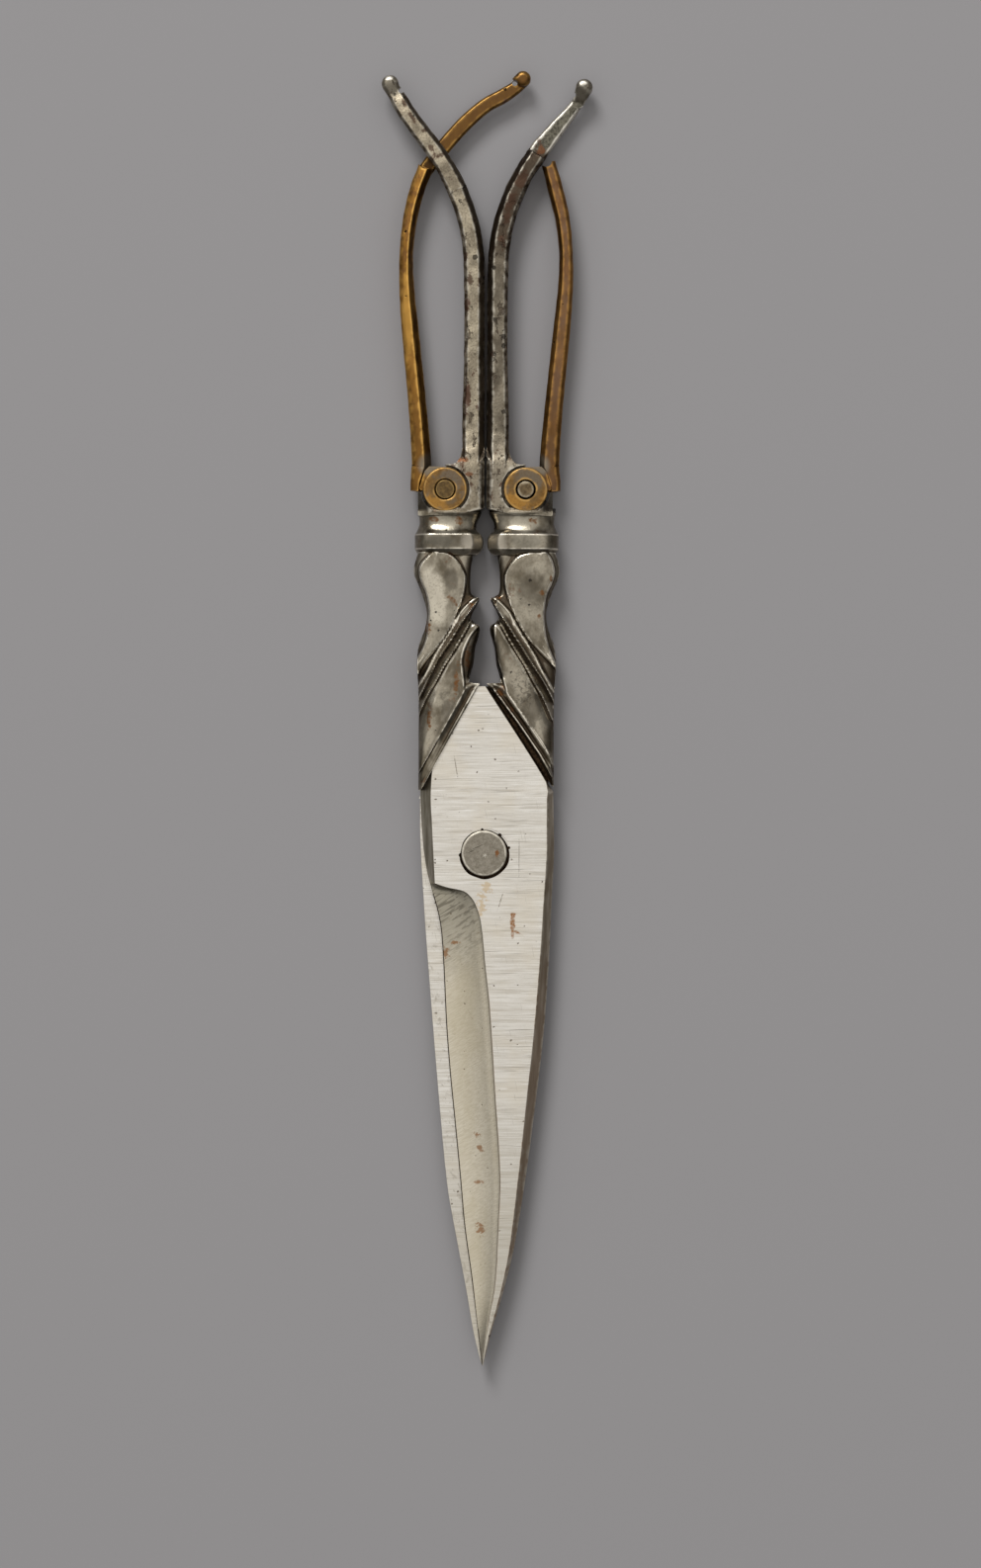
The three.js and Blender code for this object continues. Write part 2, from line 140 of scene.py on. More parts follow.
SHANK_OUTER = rising([
    (-0.82, 10), (-0.2, 10), (0, 10.1), (0.155, 10.3), (0.295, 10), (0.42, 9.1), (0.545, 8.8),
    (0.705, 9.7), (0.85, 10.8), (1, 10.2)])
SHANK_INNER = rising([
    (0, 2.45), (0.065, 2.26), (0.155, 1.75), (0.275, 1.47), (0.36, 1), (0.4, 0.8), (0.445, 0.85),
    (0.47, 1.6), (0.5, 2.1), (0.535, 1.95), (0.653, 0.8), (0.664, 1.4), (0.69, 2.1), (0.85, 2.2),
    (1, 1.8)])

# Carved lines as [out, Y], each from its inner end down to the outer side
CARVED = {
    "front": {
        "pear_rim": [(6.6, 45.5), (5.4, 45.2), (4.14, 44.1), (3.1, 42.3), (3.0, 41), (3.34, 39),
                     (3.98, 37.2), (5.0, 34.8), (6.16, 32.8), (7.58, 30.8), (9.0, 29), (9.9, 27.4)],
        "pear_back": [(8.0, 45.7), (9.7, 44), (10.07, 42.5), (9.68, 41), (8.9, 39.1), (8.5, 36.5),
                      (8.76, 34.6), (8.87, 32.9), (9.5, 31), (10.4, 29.4)],
        "high_ridge": [(1.0, 38.45), (2.3, 36.65), (3.33, 35.2), (4.23, 33.8), (5.13, 32.25),
                       (6.15, 30.8), (7.18, 29.15), (8.1, 27.3), (9.37, 24.7), (10.4, 22.6)],
    },
    "rear": {
        "pear_rim": [(7.5, 45.5), (6.3, 45.35), (4.82, 44.8), (3.53, 43.2), (3.0, 41.7), (3.15, 40.1),
                     (3.66, 38.4), (4.45, 36.3), (5.49, 34.3), (6.67, 32.5), (7.96, 31), (9.9, 28.9)],
        "pear_back": [(9.3, 45.7), (10.1, 44.6), (10.6, 42.7), (10.2, 41), (9.4, 39.1), (9.0, 36.5),
                      (9.1, 34.6), (9.4, 32.6), (10.1, 30.4), (10.9, 28.6)],
        "high_ridge": [(1.0, 38.55), (2.13, 36.6), (3.43, 34.6), (4.86, 32.3), (5.9, 30.7),
                       (6.94, 29), (8.24, 27.1), (9.2, 25.5), (10.0, 24), (10.9, 22.2)],
    },
}
RIDGE_BACK = [(0.95, 38.8), (1.9, 38.2), (2.9, 37.3), (3.72, 36.3), (4.36, 35.1), (5.14, 33.7),
              (6.16, 32.1), (7.45, 30), (8.73, 27.5), (9.8, 25.6), (10.9, 23.8)]
MIDDLE_RIDGE = [(1.6, 36.2), (2.3, 34.9), (3.07, 33.5), (4.1, 31.7), (5.12, 30.05), (6.15, 28.4),
                (7.43, 26), (8.33, 24.5), (9.23, 22.7), (10.2, 20.4)]
LEAF_CREST = {
    "front": [(1.0, 34.4), (2.03, 33.15), (2.8, 31.7), (3.3, 30.3), (3.5, 29), (3.4, 28),
              (3.16, 26), (3.16, 24.6), (3.68, 23.2), (4.32, 21.9), (5.4, 20), (6.9, 17.4)],
    "rear": [(1.5, 35.2), (1.45, 34.4), (1.45, 32.8), (1.6, 31), (1.95, 29.3), (2.35, 28),
             (2.75, 26.6), (3.1, 25.3), (3.6, 23.6), (4.32, 21.9), (5.4, 20), (6.9, 17.4)],
}
LEAF_FACET = [(6.3, 28.6), (7.05, 26.7), (7.43, 24.9), (7.55, 23.2), (7.93, 21), (8.43, 19),
              (9.2, 16.4), (9.9, 13.6)]

# Collars
COLLAR_HALF = 3.2
COLLAR_ROWS = [(-0.5, 2, 10.1, 2.35), (0.5, 1.3, 10.7, COLLAR_HALF), (2.7, 0.75, 10.7, COLLAR_HALF),
               (3.4, 1.3, 10.3, 2.75), (4.4, 1.28, 9.98, 2.45), (5.4, 0.8, 10.05, 2.6),
               (6, 0.6, 10.2, 2.9), (6.7, 0.6, 10.2, 2.7)]
COLLAR_BULGE = {"out": 0.3, "depth": 1.6, "middle": 1.45, "half": 1.95}
COLLAR_CORNER = 0.3
COLLAR_SIDE = 0.45
COLLAR_ROUND = 2.9
NECK_ROUNDNESS = 2.5

# Hinges of the finger bows
HINGE_OUT = 6.1
HINGE_Y = 55.1
WEB_HALF = 0.8
EYE_FLOOR = 1.1
EYE_TOP = 1.9
WASHER_FLOOR = 2.2
WASHER_TOP = 2.9
EYE_RADIUS = 3.4
EYE_SHOWN = 3.25
POCKET_RADIUS = 3.7
PIN_HOLE = 1.55
PIN_RADIUS = {"front": 1.42, "rear": 1.25}
RING_RADIUS = 3.33
BLOCK_HALF = 2.75
BLOCK_FOOT = SHANK_TOP + 5.7
BLOCK_TOP = HINGE_Y + 3.8
BLOCK_OUT = 10.2
LIP_TOP = HINGE_Y - 1.8
CHEEK_TOP = HINGE_Y - 0.4
CHEEK_LAYER = (2.0, 2.32)
FLARE_OUT = 3.55
FLARE_RISE = 2.6
FLARE_WIDTH = 1.65
BLOCK_BEVEL = 0.22
BLOCK_MESH = 0.7

# Steel arms: centre line as [out, rise above the hinge, width]
ARM_STEPS = 18
ARM_HALF = 1.9
ARM_FOOT_EXTRA = 0.88
ARM_FOOT = (2.2, 9.5)
ARM_THINS_FROM = 57
ARM_THINNING = 0.13
ARM_PATH = [
    (1.85, 2.4, 3.4), (1.85, 4, 3.4), (1.85, 6, 3.4), (1.85, 8, 3.4), (1.85, 10.9, 3.4),
    (1.75, 20.9, 3.15), (1.8, 32.9, 3.2), (2.15, 37.9, 3.2), (3.05, 41.9, 3.1), (4.35, 45.4, 3.1),
    (6.1, 48.8, 2.9)]
ARM_TOP = {
    "front": [(8.1, 51.8, 2.85), (10.3, 54.7, 2.75), (12.25, 57.4, 2.7), (13.55, 59.6, 2.5),
              (14.6, 61.4, 2.0)],
    "rear": [(8.1, 51.8, 3), (10.35, 54.7, 2.6), (12.6, 57.4, 2.1), (14.0, 59.4, 1.75),
             (14.75, 61.0, 1.7)],
}

# Hammer marks of the arms
HAMMER_SIZE = 3.2
HAMMER_SEED = {"front": 11, "rear": 12}

# Knobs: drop shaped, with the reach, radius and direction of the drop's tail, which lies lower
KNOB_RADIUS = 1.28
KNOB_TAIL = {"front": (2.6, 0.85, -1.16), "rear": (2.4, 0.85, -1.2)}
KNOB_FLOOR = -1.15
KNOB_TOP = {"front": 1.75, "rear": 1.6}
KNOB_ROUND = 0.8
DROP_SINK = 0.55
NOTCH_RADIUS = 0.42

# Laps: where an arm is thinned to its front half, as [out, rise above the hinge], and how it ends
LAP_START = {"front": (5.75, 48.2), "rear": (7.6, 51.1)}
LAP_FLOOR = 0.15
LAP_WIDTH = 2.95
LAP_WAY = (0.53, 0.85)
LAP_END = [(1.2, 1.0), (0.25, 1.0), (0.0, 0.84)]

# Brass bows: centre line as [distance beyond the hinge, rise above it, width]
BOW_HALF = 1.6
BOW_PATH = [
    (4.35, -0.2, 1.9), (4.2, 1.2, 2.2), (3.75, 3, 2.85), (3.6, 4.2, 3), (4, 9.9, 2.85),
    (4.7, 17.4, 2.7), (5.45, 24.9, 2.6), (5.95, 30.9, 2.3), (6, 35.9, 2.1), (5.5, 40.9, 2.2),
    (4.45, 45.4, 2.3)]
BOW_END = {"front": (3.1, 49, 2.3), "rear": (3.3, 49.7, 2.1)}
BOW_CUTS = {"front": (0.2, 0.6, 0.25, 0.36, 1.1), "rear": (0.2, 0.55, 0.0, 0.26, 0.7)}
BOW_ROUNDING = {"front": [0.3, 0.7, 0.1, 0.2, 0.2, 0.1, 0.7, 0.3], "rear": [0.2, 0.12] * 4}
BOW_HAMMER_SEED = {"front": 21, "rear": 22}
EYE_TAB = [(2.4, 3.5), (3.1, 2.8), (3.9, 0.2), (3.7, -0.1), (0, 0)]
TONGUE_PATH = [
    (3.5, 48.2, 2.2), (1.7, 50.6, 2.3), (-0.6, 53.4, 2.3), (-3.1, 56.1, 2.3), (-5.9, 58.5, 2.2),
    (-8.5, 59.95, 2.2), (-10.4, 61.2, 2), (-11.6, 62.3, 2)]

# Main rivet
RIVET_SHANK = 2.2
RIVET_HEAD = 3.45
RIVET_TOP = 2.5
RIVET_RECESS = 1.0
RIVET_BACK_HEAD = 3.6
RECESS_OUTLINE = (0.06, -0.2, RIVET_HEAD + 0.3, 140, 0.08, 5)
LEDGE_OUTLINE = (0.2, 0.24, RIVET_HEAD + 0.12, 140, 0.06, 9)
LEDGE_DEPTH = 0.25
RECESS_NICKS = [(-2.35, 2.75, 0.3, 0.5), (-3.75, 0.85, 0.22, 0.3), (3.5, -0.3, 0.35, 0.4),
                (0.3, 3.6, 0.2, 0.3)]


# Lines and curves

def along(points):
    """Smooth function through [place, value] points."""
    places, values = np.array(sorted(points), float).T
    before = np.maximum(np.arange(len(places)) - 1, 0)
    after = np.minimum(np.arange(len(places)) + 1, len(places) - 1)
    slopes = (values[after] - values[before]) / (places[after] - places[before])

    def value(at):
        """Values at an array of places."""
        at = np.clip(at, places[0], places[-1])
        i = np.clip(np.searchsorted(places, at, side="right") - 1, 0, len(places) - 2)
        step = places[i + 1] - places[i]
        t = (at - places[i]) / step
        rise = (2 * t - 3) * t * t
        bend = step * t * (t - 1) * ((t - 1) * slopes[i] + t * slopes[i + 1])
        return (1 + rise) * values[i] - rise * values[i + 1] + bend
    return value


def fair(points, steps=14):
    """Smooth open line through points of any number of values."""
    p = np.array(points, float)
    p = np.vstack([2 * p[0] - p[1], p, 2 * p[-1] - p[-2]])
    t = np.linspace(0, 1, steps, endpoint=False)[:, None]
    spans = []
    for a, b, c, d in zip(p[:-3], p[1:-2], p[2:-1], p[3:]):
        curve = b + t * (c - a) / 2 + t ** 2 * (a - 2.5 * b + 2 * c - d / 2)
        spans.append(curve + t ** 3 * ((d - a) / 2 + 1.5 * (b - c)))
    return np.vstack([*spans, p[-2:-1]])


def beside(points, out, y):
    """Distance from a carved line, positive on its upper side, and the share of it passed."""
    line = fair(points, 6)
    a = line[:-1]
    ab = line[1:] - a
    ap = np.stack([out.ravel(), y.ravel()], -1)[:, None, :] - a[None]
    t = np.clip((ap * ab).sum(-1) / (ab * ab).sum(-1), 0, 1)
    gap = np.linalg.norm(ap - t[..., None] * ab, axis=-1)
    nearest = gap.argmin(1)
    pick = np.arange(len(nearest))
    cross = (ab[:, 0] * ap[..., 1] - ab[:, 1] * ap[..., 0])[pick, nearest]
    passed = (nearest + t[pick, nearest]) / len(ab)
    away = np.where(cross >= 0, 1, -1) * gap[pick, nearest]
    return away.reshape(out.shape), passed.reshape(out.shape)


def ease(value, low, high):
    """Smooth step from 0 at low to 1 at high."""
    t = np.clip((value - low) / (high - low), 0, 1)
    return t * t * (3 - 2 * t)


WAVE_COUNT = 9
WAVE_LEVEL = 4.2


def waves(x, y, seed, size):
    """Gentle uneven field between about -1 and 1, the same at every run."""
    rng = np.random.default_rng(seed)
    total = np.zeros(np.broadcast(x, y).shape)
    for _ in range(WAVE_COUNT):
        angle = rng.uniform(0, math.tau)
        pace = rng.uniform(0.6, 1.9) * math.tau / size
        shift = rng.uniform(0, math.tau)
        total += np.sin((np.cos(angle) * x + np.sin(angle) * y) * pace + shift)
    return total / WAVE_LEVEL


# Meshes

SPLIT_ROUNDS = 6
SECTION_STEP = 0.45
STUD_SIDES = 56
DROP_SIDES = 72


@contextmanager
def opened(mesh):
    """Editable form of a mesh, written back to it at the end."""
    form = bmesh.new()
    form.from_mesh(mesh)
    yield form
    form.to_mesh(mesh)
    form.free()


def table(items, name, size=3, kind=float):
    """One value of every point, edge or face of a mesh, [item, part of the value]."""
    values = np.empty(len(items) * size, kind)
    items.foreach_get(name, values)
    return values.reshape(-1, size)


def put_in(name, data):
    """New object in the scene."""
    made = bpy.data.objects.new(name, data)
    scene.collection.objects.link(made)
    return made


def solid(name, rings):
    """Closed mesh from an array of rings of points, [ring, point, xyz]."""
    rings = np.asarray(rings, float)
    count, size = rings.shape[:2]
    i, j = np.meshgrid(np.arange(count - 1), np.arange(size), indexing="ij")
    a = (i * size + j).ravel()
    b = (i * size + (j + 1) % size).ravel()
    quads = np.stack([a, b, b + size, a + size], 1).tolist()
    caps = [list(range(size)), list(range((count - 1) * size, count * size))]
    return shell(name, rings.reshape(-1, 3), quads + caps)


def shell(name, points, faces):
    """Object with a closed mesh whose faces point outwards."""
    mesh = bpy.data.meshes.new(name)
    mesh.from_pydata([tuple(p) for p in points], [], faces)
    with opened(mesh) as form:
        bmesh.ops.recalc_face_normals(form, faces=form.faces)
    return put_in(name, mesh)


def refine(mesh, longest):
    """Splits long edges, so that marks beside a sharp edge stay close to it."""
    with opened(mesh) as form:
        bmesh.ops.triangulate(form, faces=[face for face in form.faces if len(face.verts) > 4])
        for _ in range(SPLIT_ROUNDS):
            long_edges = [edge for edge in form.edges if edge.calc_length() > longest]
            if not long_edges:
                break
            bmesh.ops.subdivide_edges(form, edges=long_edges, cuts=1)
            bmesh.ops.triangulate(form, faces=[face for face in form.faces if len(face.verts) > 4])


def settle(made):
    """The object's modifiers made part of its mesh."""
    bpy.context.view_layer.update()
    ready = made.evaluated_get(bpy.context.evaluated_depsgraph_get())
    fresh = bpy.data.meshes.new_from_object(ready)
    made.modifiers.clear()
    old = made.data
    made.data = fresh
    bpy.data.meshes.remove(old)
    return made


def combine(base, others, operation="UNION"):
    """Other solids joined to the base, or cut from it."""
    for other in others:
        modifier = base.modifiers.new(operation.lower(), "BOOLEAN")
        modifier.operation = operation
        modifier.solver = "MANIFOLD"
        modifier.object = other
        settle(base)
        bpy.data.objects.remove(other)
    return base


def mirrored(top):
    """Corners of a section's upper side, followed by the same below the middle plane."""
    return top + [(across, -up) for across, up in top[::-1]]


def soften(corners, radii):
    """Closed sections [row, point, across/up] of the corners given, each rounded by its radius."""
    section = np.stack([np.stack(np.broadcast_arrays(*corner), -1) for corner in corners], 1)
    columns = []
    for k, radius in enumerate(radii):
        corner = section[:, k]
        if radius == 0:
            columns.append(corner)
            continue
        ends = []
        for other in (section[:, k - 1], section[:, (k + 1) % len(radii)]):
            reach = np.linalg.norm(other - corner, axis=1, keepdims=True)
            share = np.minimum(radius / np.maximum(reach, 1e-6), 0.4)
            ends.append(corner + (other - corner) * share)
        columns += [ends[0], (ends[0] + ends[1]) / 4 + corner / 2, ends[1]]
    return np.stack(columns, 1)


def dense(section, longest):
    """Closed sections with extra points along their long sides."""
    columns = []
    for k in range(section.shape[1]):
        here = section[:, k]
        to_next = section[:, (k + 1) % section.shape[1]] - here
        count = max(1, math.ceil(np.linalg.norm(to_next, axis=1).max() / longest))
        columns += [here + to_next * share for share in np.arange(count) / count]
    return np.stack(columns, 1)


def bar(name, path, section, steps=14):
    """Bar along a path of [out, Y, width, half height] points with a section for each."""
    centre = fair(path, steps)
    ahead = np.gradient(centre[:, :2] * (-1, 1), axis=0)
    ahead /= np.linalg.norm(ahead, axis=1, keepdims=True)
    side = np.stack([ahead[:, 1], -ahead[:, 0]], 1)
    shape = dense(section(*centre[:, 2:].T), SECTION_STEP)
    flat = centre[:, None, :2] * (-1, 1) + side[:, None] * shape[..., :1]
    return solid(name, np.concatenate([flat, shape[..., 1:]], -1))


def prism(name, outline, low, high):
    """Upright prism over an outline of [x, Y] points."""
    points = [(x, y, low) for x, y in outline] + [(x, y, high) for x, y in outline]
    count = len(outline)
    walls = [[i, (i + 1) % count, count + (i + 1) % count, count + i] for i in range(count)]
    return shell(name, points, walls + [list(range(count)), list(range(count, 2 * count))])


def round_outline(x, y, radius, sides=96, wander=0.0, seed=1):
    """Outline of a circle that may wander in and out a little."""
    turn = np.linspace(0, math.tau, sides, endpoint=False)
    reach = radius + wander * waves(np.cos(turn) * 2, np.sin(turn) * 2, seed, 2.2)
    return list(zip(x + reach * np.cos(turn), y + reach * np.sin(turn)))


def disc(name, out, y, radius, low, high, sides=96):
    """Upright round stud or bore."""
    return prism(name, round_outline(-out, y, radius, sides), low, high)


def domed_end(name, out, y, radius, low, high, edge, beak=0.0, beak_angle=math.pi):
    """Round stud with softly rounded rims, and a beak on one side if it has one."""
    turn = np.linspace(0, math.tau, STUD_SIDES, endpoint=False)
    arc = np.linspace(0, math.pi / 2, 8)
    lower = [(radius - edge * (1 - math.sin(a)), low + edge * (1 - math.cos(a))) for a in arc]
    upper = [(r, high + low - z) for r, z in reversed(lower)]
    away = np.abs((turn - beak_angle + math.pi) % math.tau - math.pi)
    shape = 1 + beak / radius * np.clip(1 - away / 0.62, 0, 1) ** 1.5
    rings = [np.stack([-out + r * shape * np.cos(turn), y + r * shape * np.sin(turn),
                       np.full_like(turn, z)], 1) for r, z in lower + upper]
    return solid(name, rings)


def drop_end(name, out, y, radius, tail, tail_radius, lean, low, high, edge):
    """Stud with softly rounded rims, drawn out to one side like a drop."""
    turn = np.linspace(0, math.tau, DROP_SIDES, endpoint=False)
    arc = np.linspace(0, math.pi / 2, 8)
    inset = [(edge * (1 - math.sin(a)), low + edge * (1 - math.cos(a))) for a in arc]
    inset += [(cut, high + low - z) for cut, z in reversed(inset)]
    on_tail = tail * np.cos(turn - lean) + tail_radius > radius
    shift = np.where(on_tail, tail, 0)
    reach = np.where(on_tail, tail_radius, radius)
    rings = [np.stack([-out + shift * math.cos(lean) + (reach - cut) * np.cos(turn),
                       y + shift * math.sin(lean) + (reach - cut) * np.sin(turn),
                       np.where(on_tail, max(z - DROP_SINK, LAP_FLOOR), z)], 1) for cut, z in inset]
    return solid(name, rings)


# Steel halves

def vee_slope(half):
    """How fast the edge of a half's V comes in with Y."""
    shape = VEE[half]
    return (shape["foot_out"] - shape["top_out"]) / (VEE_TOP - shape["foot_y"])


def vee_edge(half, y):
    """Distance from the axis to the edge of a half's V."""
    return VEE[half]["top_out"] + (VEE_TOP - y) * vee_slope(half)


def vee_gap(half):
    """Gap along X that leaves the blade its clearance square to the slanting V."""
    return CLEARANCE * math.hypot(1, vee_slope(half))


def past_vee(half, out, y):
    """How far points lie on the shank's side of the V's edge."""
    return (out - vee_edge(half, y)) / math.hypot(1, vee_gap(half) / CLEARANCE)


def slot_width(y):
    """Width of the dark slot that the rear half's V has along the blade."""
    return SLOT_WIDTH * np.interp(y, *np.transpose(SLOT_SHARE))


def blade(half):
    """Blade with its tang, hollow grind, flat face and bevelled spine."""
    other = "rear" if half == "front" else "front"
    shoulder = SPINES[half][0][0]
    heel_y = -HEEL * BLADE_LENGTH
    grind_y = -GRIND_TOP * BLADE_LENGTH
    y = np.unique(np.concatenate([
        np.arange(-BLADE_LENGTH, VEE_TOP - 0.15, 0.5), np.arange(-11, -4.2, 0.09),
        [shoulder, shoulder + VEE_LEDGE, -BLADE_LENGTH, grind_y, grind_y - 0.01]]))
    taper = np.clip((-y / BLADE_LENGTH - TAPER_START) / (1 - TAPER_START), 0, 1) ** 2
    top = BLADE_TOP + (BLADE_FLOOR + TIP_THICKNESS - BLADE_TOP) * taper
    in_the_vee = y > shoulder
    hollowed = y < grind_y
    right = np.where(in_the_vee, vee_edge(other, y) - vee_gap(other), along(SPINES[half])(y))
    side = along(TANG_SIDE)
    covered = np.maximum(-vee_edge(half, y) - TANG_OVERLAP, side(shoulder))
    tang = np.where(in_the_vee, covered, side(y))
    left = np.where(y <= heel_y, along(CUTTING_EDGE)(y), tang)
    crest = np.where(hollowed, np.maximum(along(GRIND_RIDGE)(y), left + 0.02),
                     np.maximum(along(TANG_FLAT)(y), left + 0.3))
    fade = np.clip((y - heel_y) / (shoulder - heel_y), 0, 1)
    land = BLADE_FLOOR + EDGE_LAND + (TANG_LAND - EDGE_LAND) * np.sqrt(fade)
    land = np.where(hollowed, land + HEEL_RISE * (1 - ease(-y, -heel_y, HEEL_END)), land)
    sag = np.where(hollowed, HOLLOW_DEPTH * np.minimum(1, (crest - left) / HOLLOW_REACH), 0)
    inset = np.minimum(along(SPINE_BEVEL)(y), (right - crest) * 0.8)
    wall = np.minimum(BLADE_FLOOR + SPINE_LAND, top - 0.2)
    corners = [(left, BLADE_FLOOR), (left, land)]
    for share in [*np.linspace(0, 1, HOLLOW_COLUMNS + 1)[1:-1], 0.965]:
        under_ridge = HOLLOW_WALL * (top - land) * hollowed if share > 0.95 else 0
        corners.append((left + (crest - left) * share,
                        land + (top - land) * share - 4 * sag * share * (1 - share) - under_ridge))
    corners += [(crest, top), ((crest + right - inset) / 2, top), (right - inset, top),
                (right, wall), (right, BLADE_FLOOR)]
    section = soften(corners, [0.03, 0.14] + [0] * HOLLOW_COLUMNS + [0.05, 0, 0.07, 0.1, 0.03])
    rings = np.stack([section[..., 0], np.repeat(y[:, None], section.shape[1], 1),
                      section[..., 1]], -1)
    return solid("blade", rings)


def scarp(away, crest, back, drop, wall, foot):
    """Height beside a carved line: up to a crest from behind, down a wall, and back from its foot."""
    behind = crest * np.clip(1 - away / back, 0, 1) ** 2
    fall = ease(-away, 0, wall)
    ahead = np.clip(1 + (away + wall) / foot, 0, 1) ** 1.5
    front = crest * (1 - fall) - drop * fall * np.where(-away < wall, 1, ahead)
    return np.where(away >= 0, behind, front)


def shank_height(half, out, y, inner, outer):
    """Height of a shank's carved face above the middle plane."""
    lines = CARVED[half]
    middle_out = (outer - np.maximum(inner, along(SHANK_INNER)(y))) / 2
    outer_fall = np.clip(1 - (outer - out) / np.maximum(middle_out, 1.2), 0, 1)
    inner_fall = (np.clip(1 - (out - inner) / np.clip(middle_out, 0.6, 1.6), 0, 1)
                  * ease(y, VEE_TOP - 0.1, VEE_TOP + 1.4))
    fall = np.maximum(outer_fall, inner_fall)
    crown = np.maximum(1 - fall ** SHANK_ROUNDNESS, 0) ** (1 / SHANK_ROUNDNESS)
    body = SHANK_EDGE + (SHANK_HALF - 0.32 - SHANK_EDGE) * crown
    rim, _ = beside(lines["pear_rim"], out, y)
    back, _ = beside(lines["pear_back"], out, y)
    ridge, ridge_passed = beside(lines["high_ridge"], out, y)
    ridge_back, _ = beside(RIDGE_BACK, out, y)
    middle, _ = beside(MIDDLE_RIDGE, out, y)
    leaf, _ = beside(LEAF_CREST[half], out, y)
    facet, _ = beside(LEAF_FACET, out, y)
    edge_gap = past_vee(half, out, y)

    # Pear: a shallow dome with a raised rim, over a darker flank
    inside = np.minimum(rim, -back)
    dome = 2.58 + 0.4 * np.sqrt(1 - (1 - np.clip(inside / 2.9, 0, 1)) ** 2)
    flank = ease(-rim, 0, 0.22) * ease(ridge_back, 0, 0.5)
    height = body - 0.5 * flank * (1 - ease(inside, -0.1, 0.05))
    pear = ease(inside, -0.1, 0.16)
    height = height * (1 - pear) + dome * pear
    height += 0.07 * np.exp(-(rim / 0.16) ** 2) * ease(-back, -0.1, 0.4)

    # Hollow band between the pear and the high ridge
    across = np.clip(ridge / np.maximum(ridge - ridge_back, 0.2), 0, 1)
    on_band = ease(ridge, -0.08, 0.08) * ease(-ridge_back, -0.08, 0.14)
    band = 0.34 * (1 - across) ** 2.5 - 0.22 * np.sin(math.pi * across) + 0.09 * np.exp(
        -((across - 0.6) / 0.2) ** 2)
    height += on_band * (1 - pear) * band

    # Ridges that step down one after the other towards the V
    lower = 1 - ease(ridge, -0.1, 0.1)
    height += lower * scarp(ridge, 0.3, 0.5, 0.52, 0.26, 1.1) * (1 - ease(ridge_passed, 0.93, 1))
    past_ridge = ease(-ridge, 0.15, 0.45)
    height += past_ridge * scarp(middle, 0.3, 0.7, 0.3, 0.24, 1.2) * ease(out, 0.9, 1.6)
    on_leaf = ease(-middle, 0.1, 0.5) * ease(leaf, -0.3, 0.1)
    height += on_leaf * 0.3 * ease(edge_gap, 0.9, 1.6)
    height -= on_leaf * 0.2 * np.clip(facet, 0, 1.6) * ease(-middle, 0.1, 0.4)
    height += ease(-middle, 0.1, 0.4) * 0.03 * np.exp(-(leaf / 0.2) ** 2)
    height -= ease(-leaf, 0.0, 1.6) * 0.35 * ease(edge_gap, 0.7, 1.3)

    # Fillets along the V: a bright rim, a groove and a crest beside the leaf
    near = ease(VEE_TOP - y, 0, 0.6) * (1 if half == "rear" else 0.3 + 0.7 * ease(y, 13, 21))
    groove = 0.26
    if half == "rear":
        slot = slot_width(y)
        height -= near * VEE_SLOT * (1 - ease(edge_gap, slot - 0.15, slot + 0.12))
        edge_gap = edge_gap - slot
        groove = 0.36
    height -= near * groove * ease(edge_gap, 0.25, 0.45) * (1 - ease(edge_gap, 0.55, 0.95))
    height += near * 0.16 * np.exp(-((edge_gap - 1.12) / 0.16) ** 2)
    height -= near * 0.16 * (1 - ease(edge_gap, 0, 0.16))
    carved = SHANK_EDGE + (height - SHANK_EDGE) * ease(crown, 0, 0.3)
    return np.minimum(carved, SHANK_HALF + 0.05)


def shank(half):
    """Carved shank, the same on both faces, from the foot of the V up to the collar."""
    foot = VEE[half]["foot_y"] + CLEARANCE
    ledge = VEE_TOP + VEE_LEDGE
    y = np.unique(np.concatenate([
        np.linspace(foot, ledge, VEE_ROWS), np.linspace(ledge + 0.12, SHANK_TOP, UPPER_ROWS)]))[:, None]
    inner = np.where(y < ledge + 0.01, vee_edge(half, y), along(SHANK_INNER)(y))
    outer = np.maximum(along(SHANK_OUTER)(y) + OUTER_EXTRA[half], inner + CLEARANCE)
    core = np.maximum(inner, along(SHANK_INNER)(y))
    core = core + 0.3 * np.clip((outer - core) / 2, 0, 1)
    steps = np.linspace(0, 1, CARVED_COLUMNS + 1)[1:]
    u = (0.35 * steps + 0.65 * (1 - np.cos(math.pi * steps)) / 2)[None]
    rim = np.linspace(0, 1, RIM_COLUMNS + 1)[None]
    out = np.concatenate([inner + (core - inner) * rim, core + (outer - core) * u], 1)
    y, inner, outer = (np.broadcast_to(v, out.shape) for v in (y, inner, outer))
    height = shank_height(half, out, y, inner, outer)
    front = np.stack([-out, y, height], -1)
    back = np.stack([-out, y, -height], -1)[:, ::-1]
    return solid("shank", np.concatenate([front, back], 1))


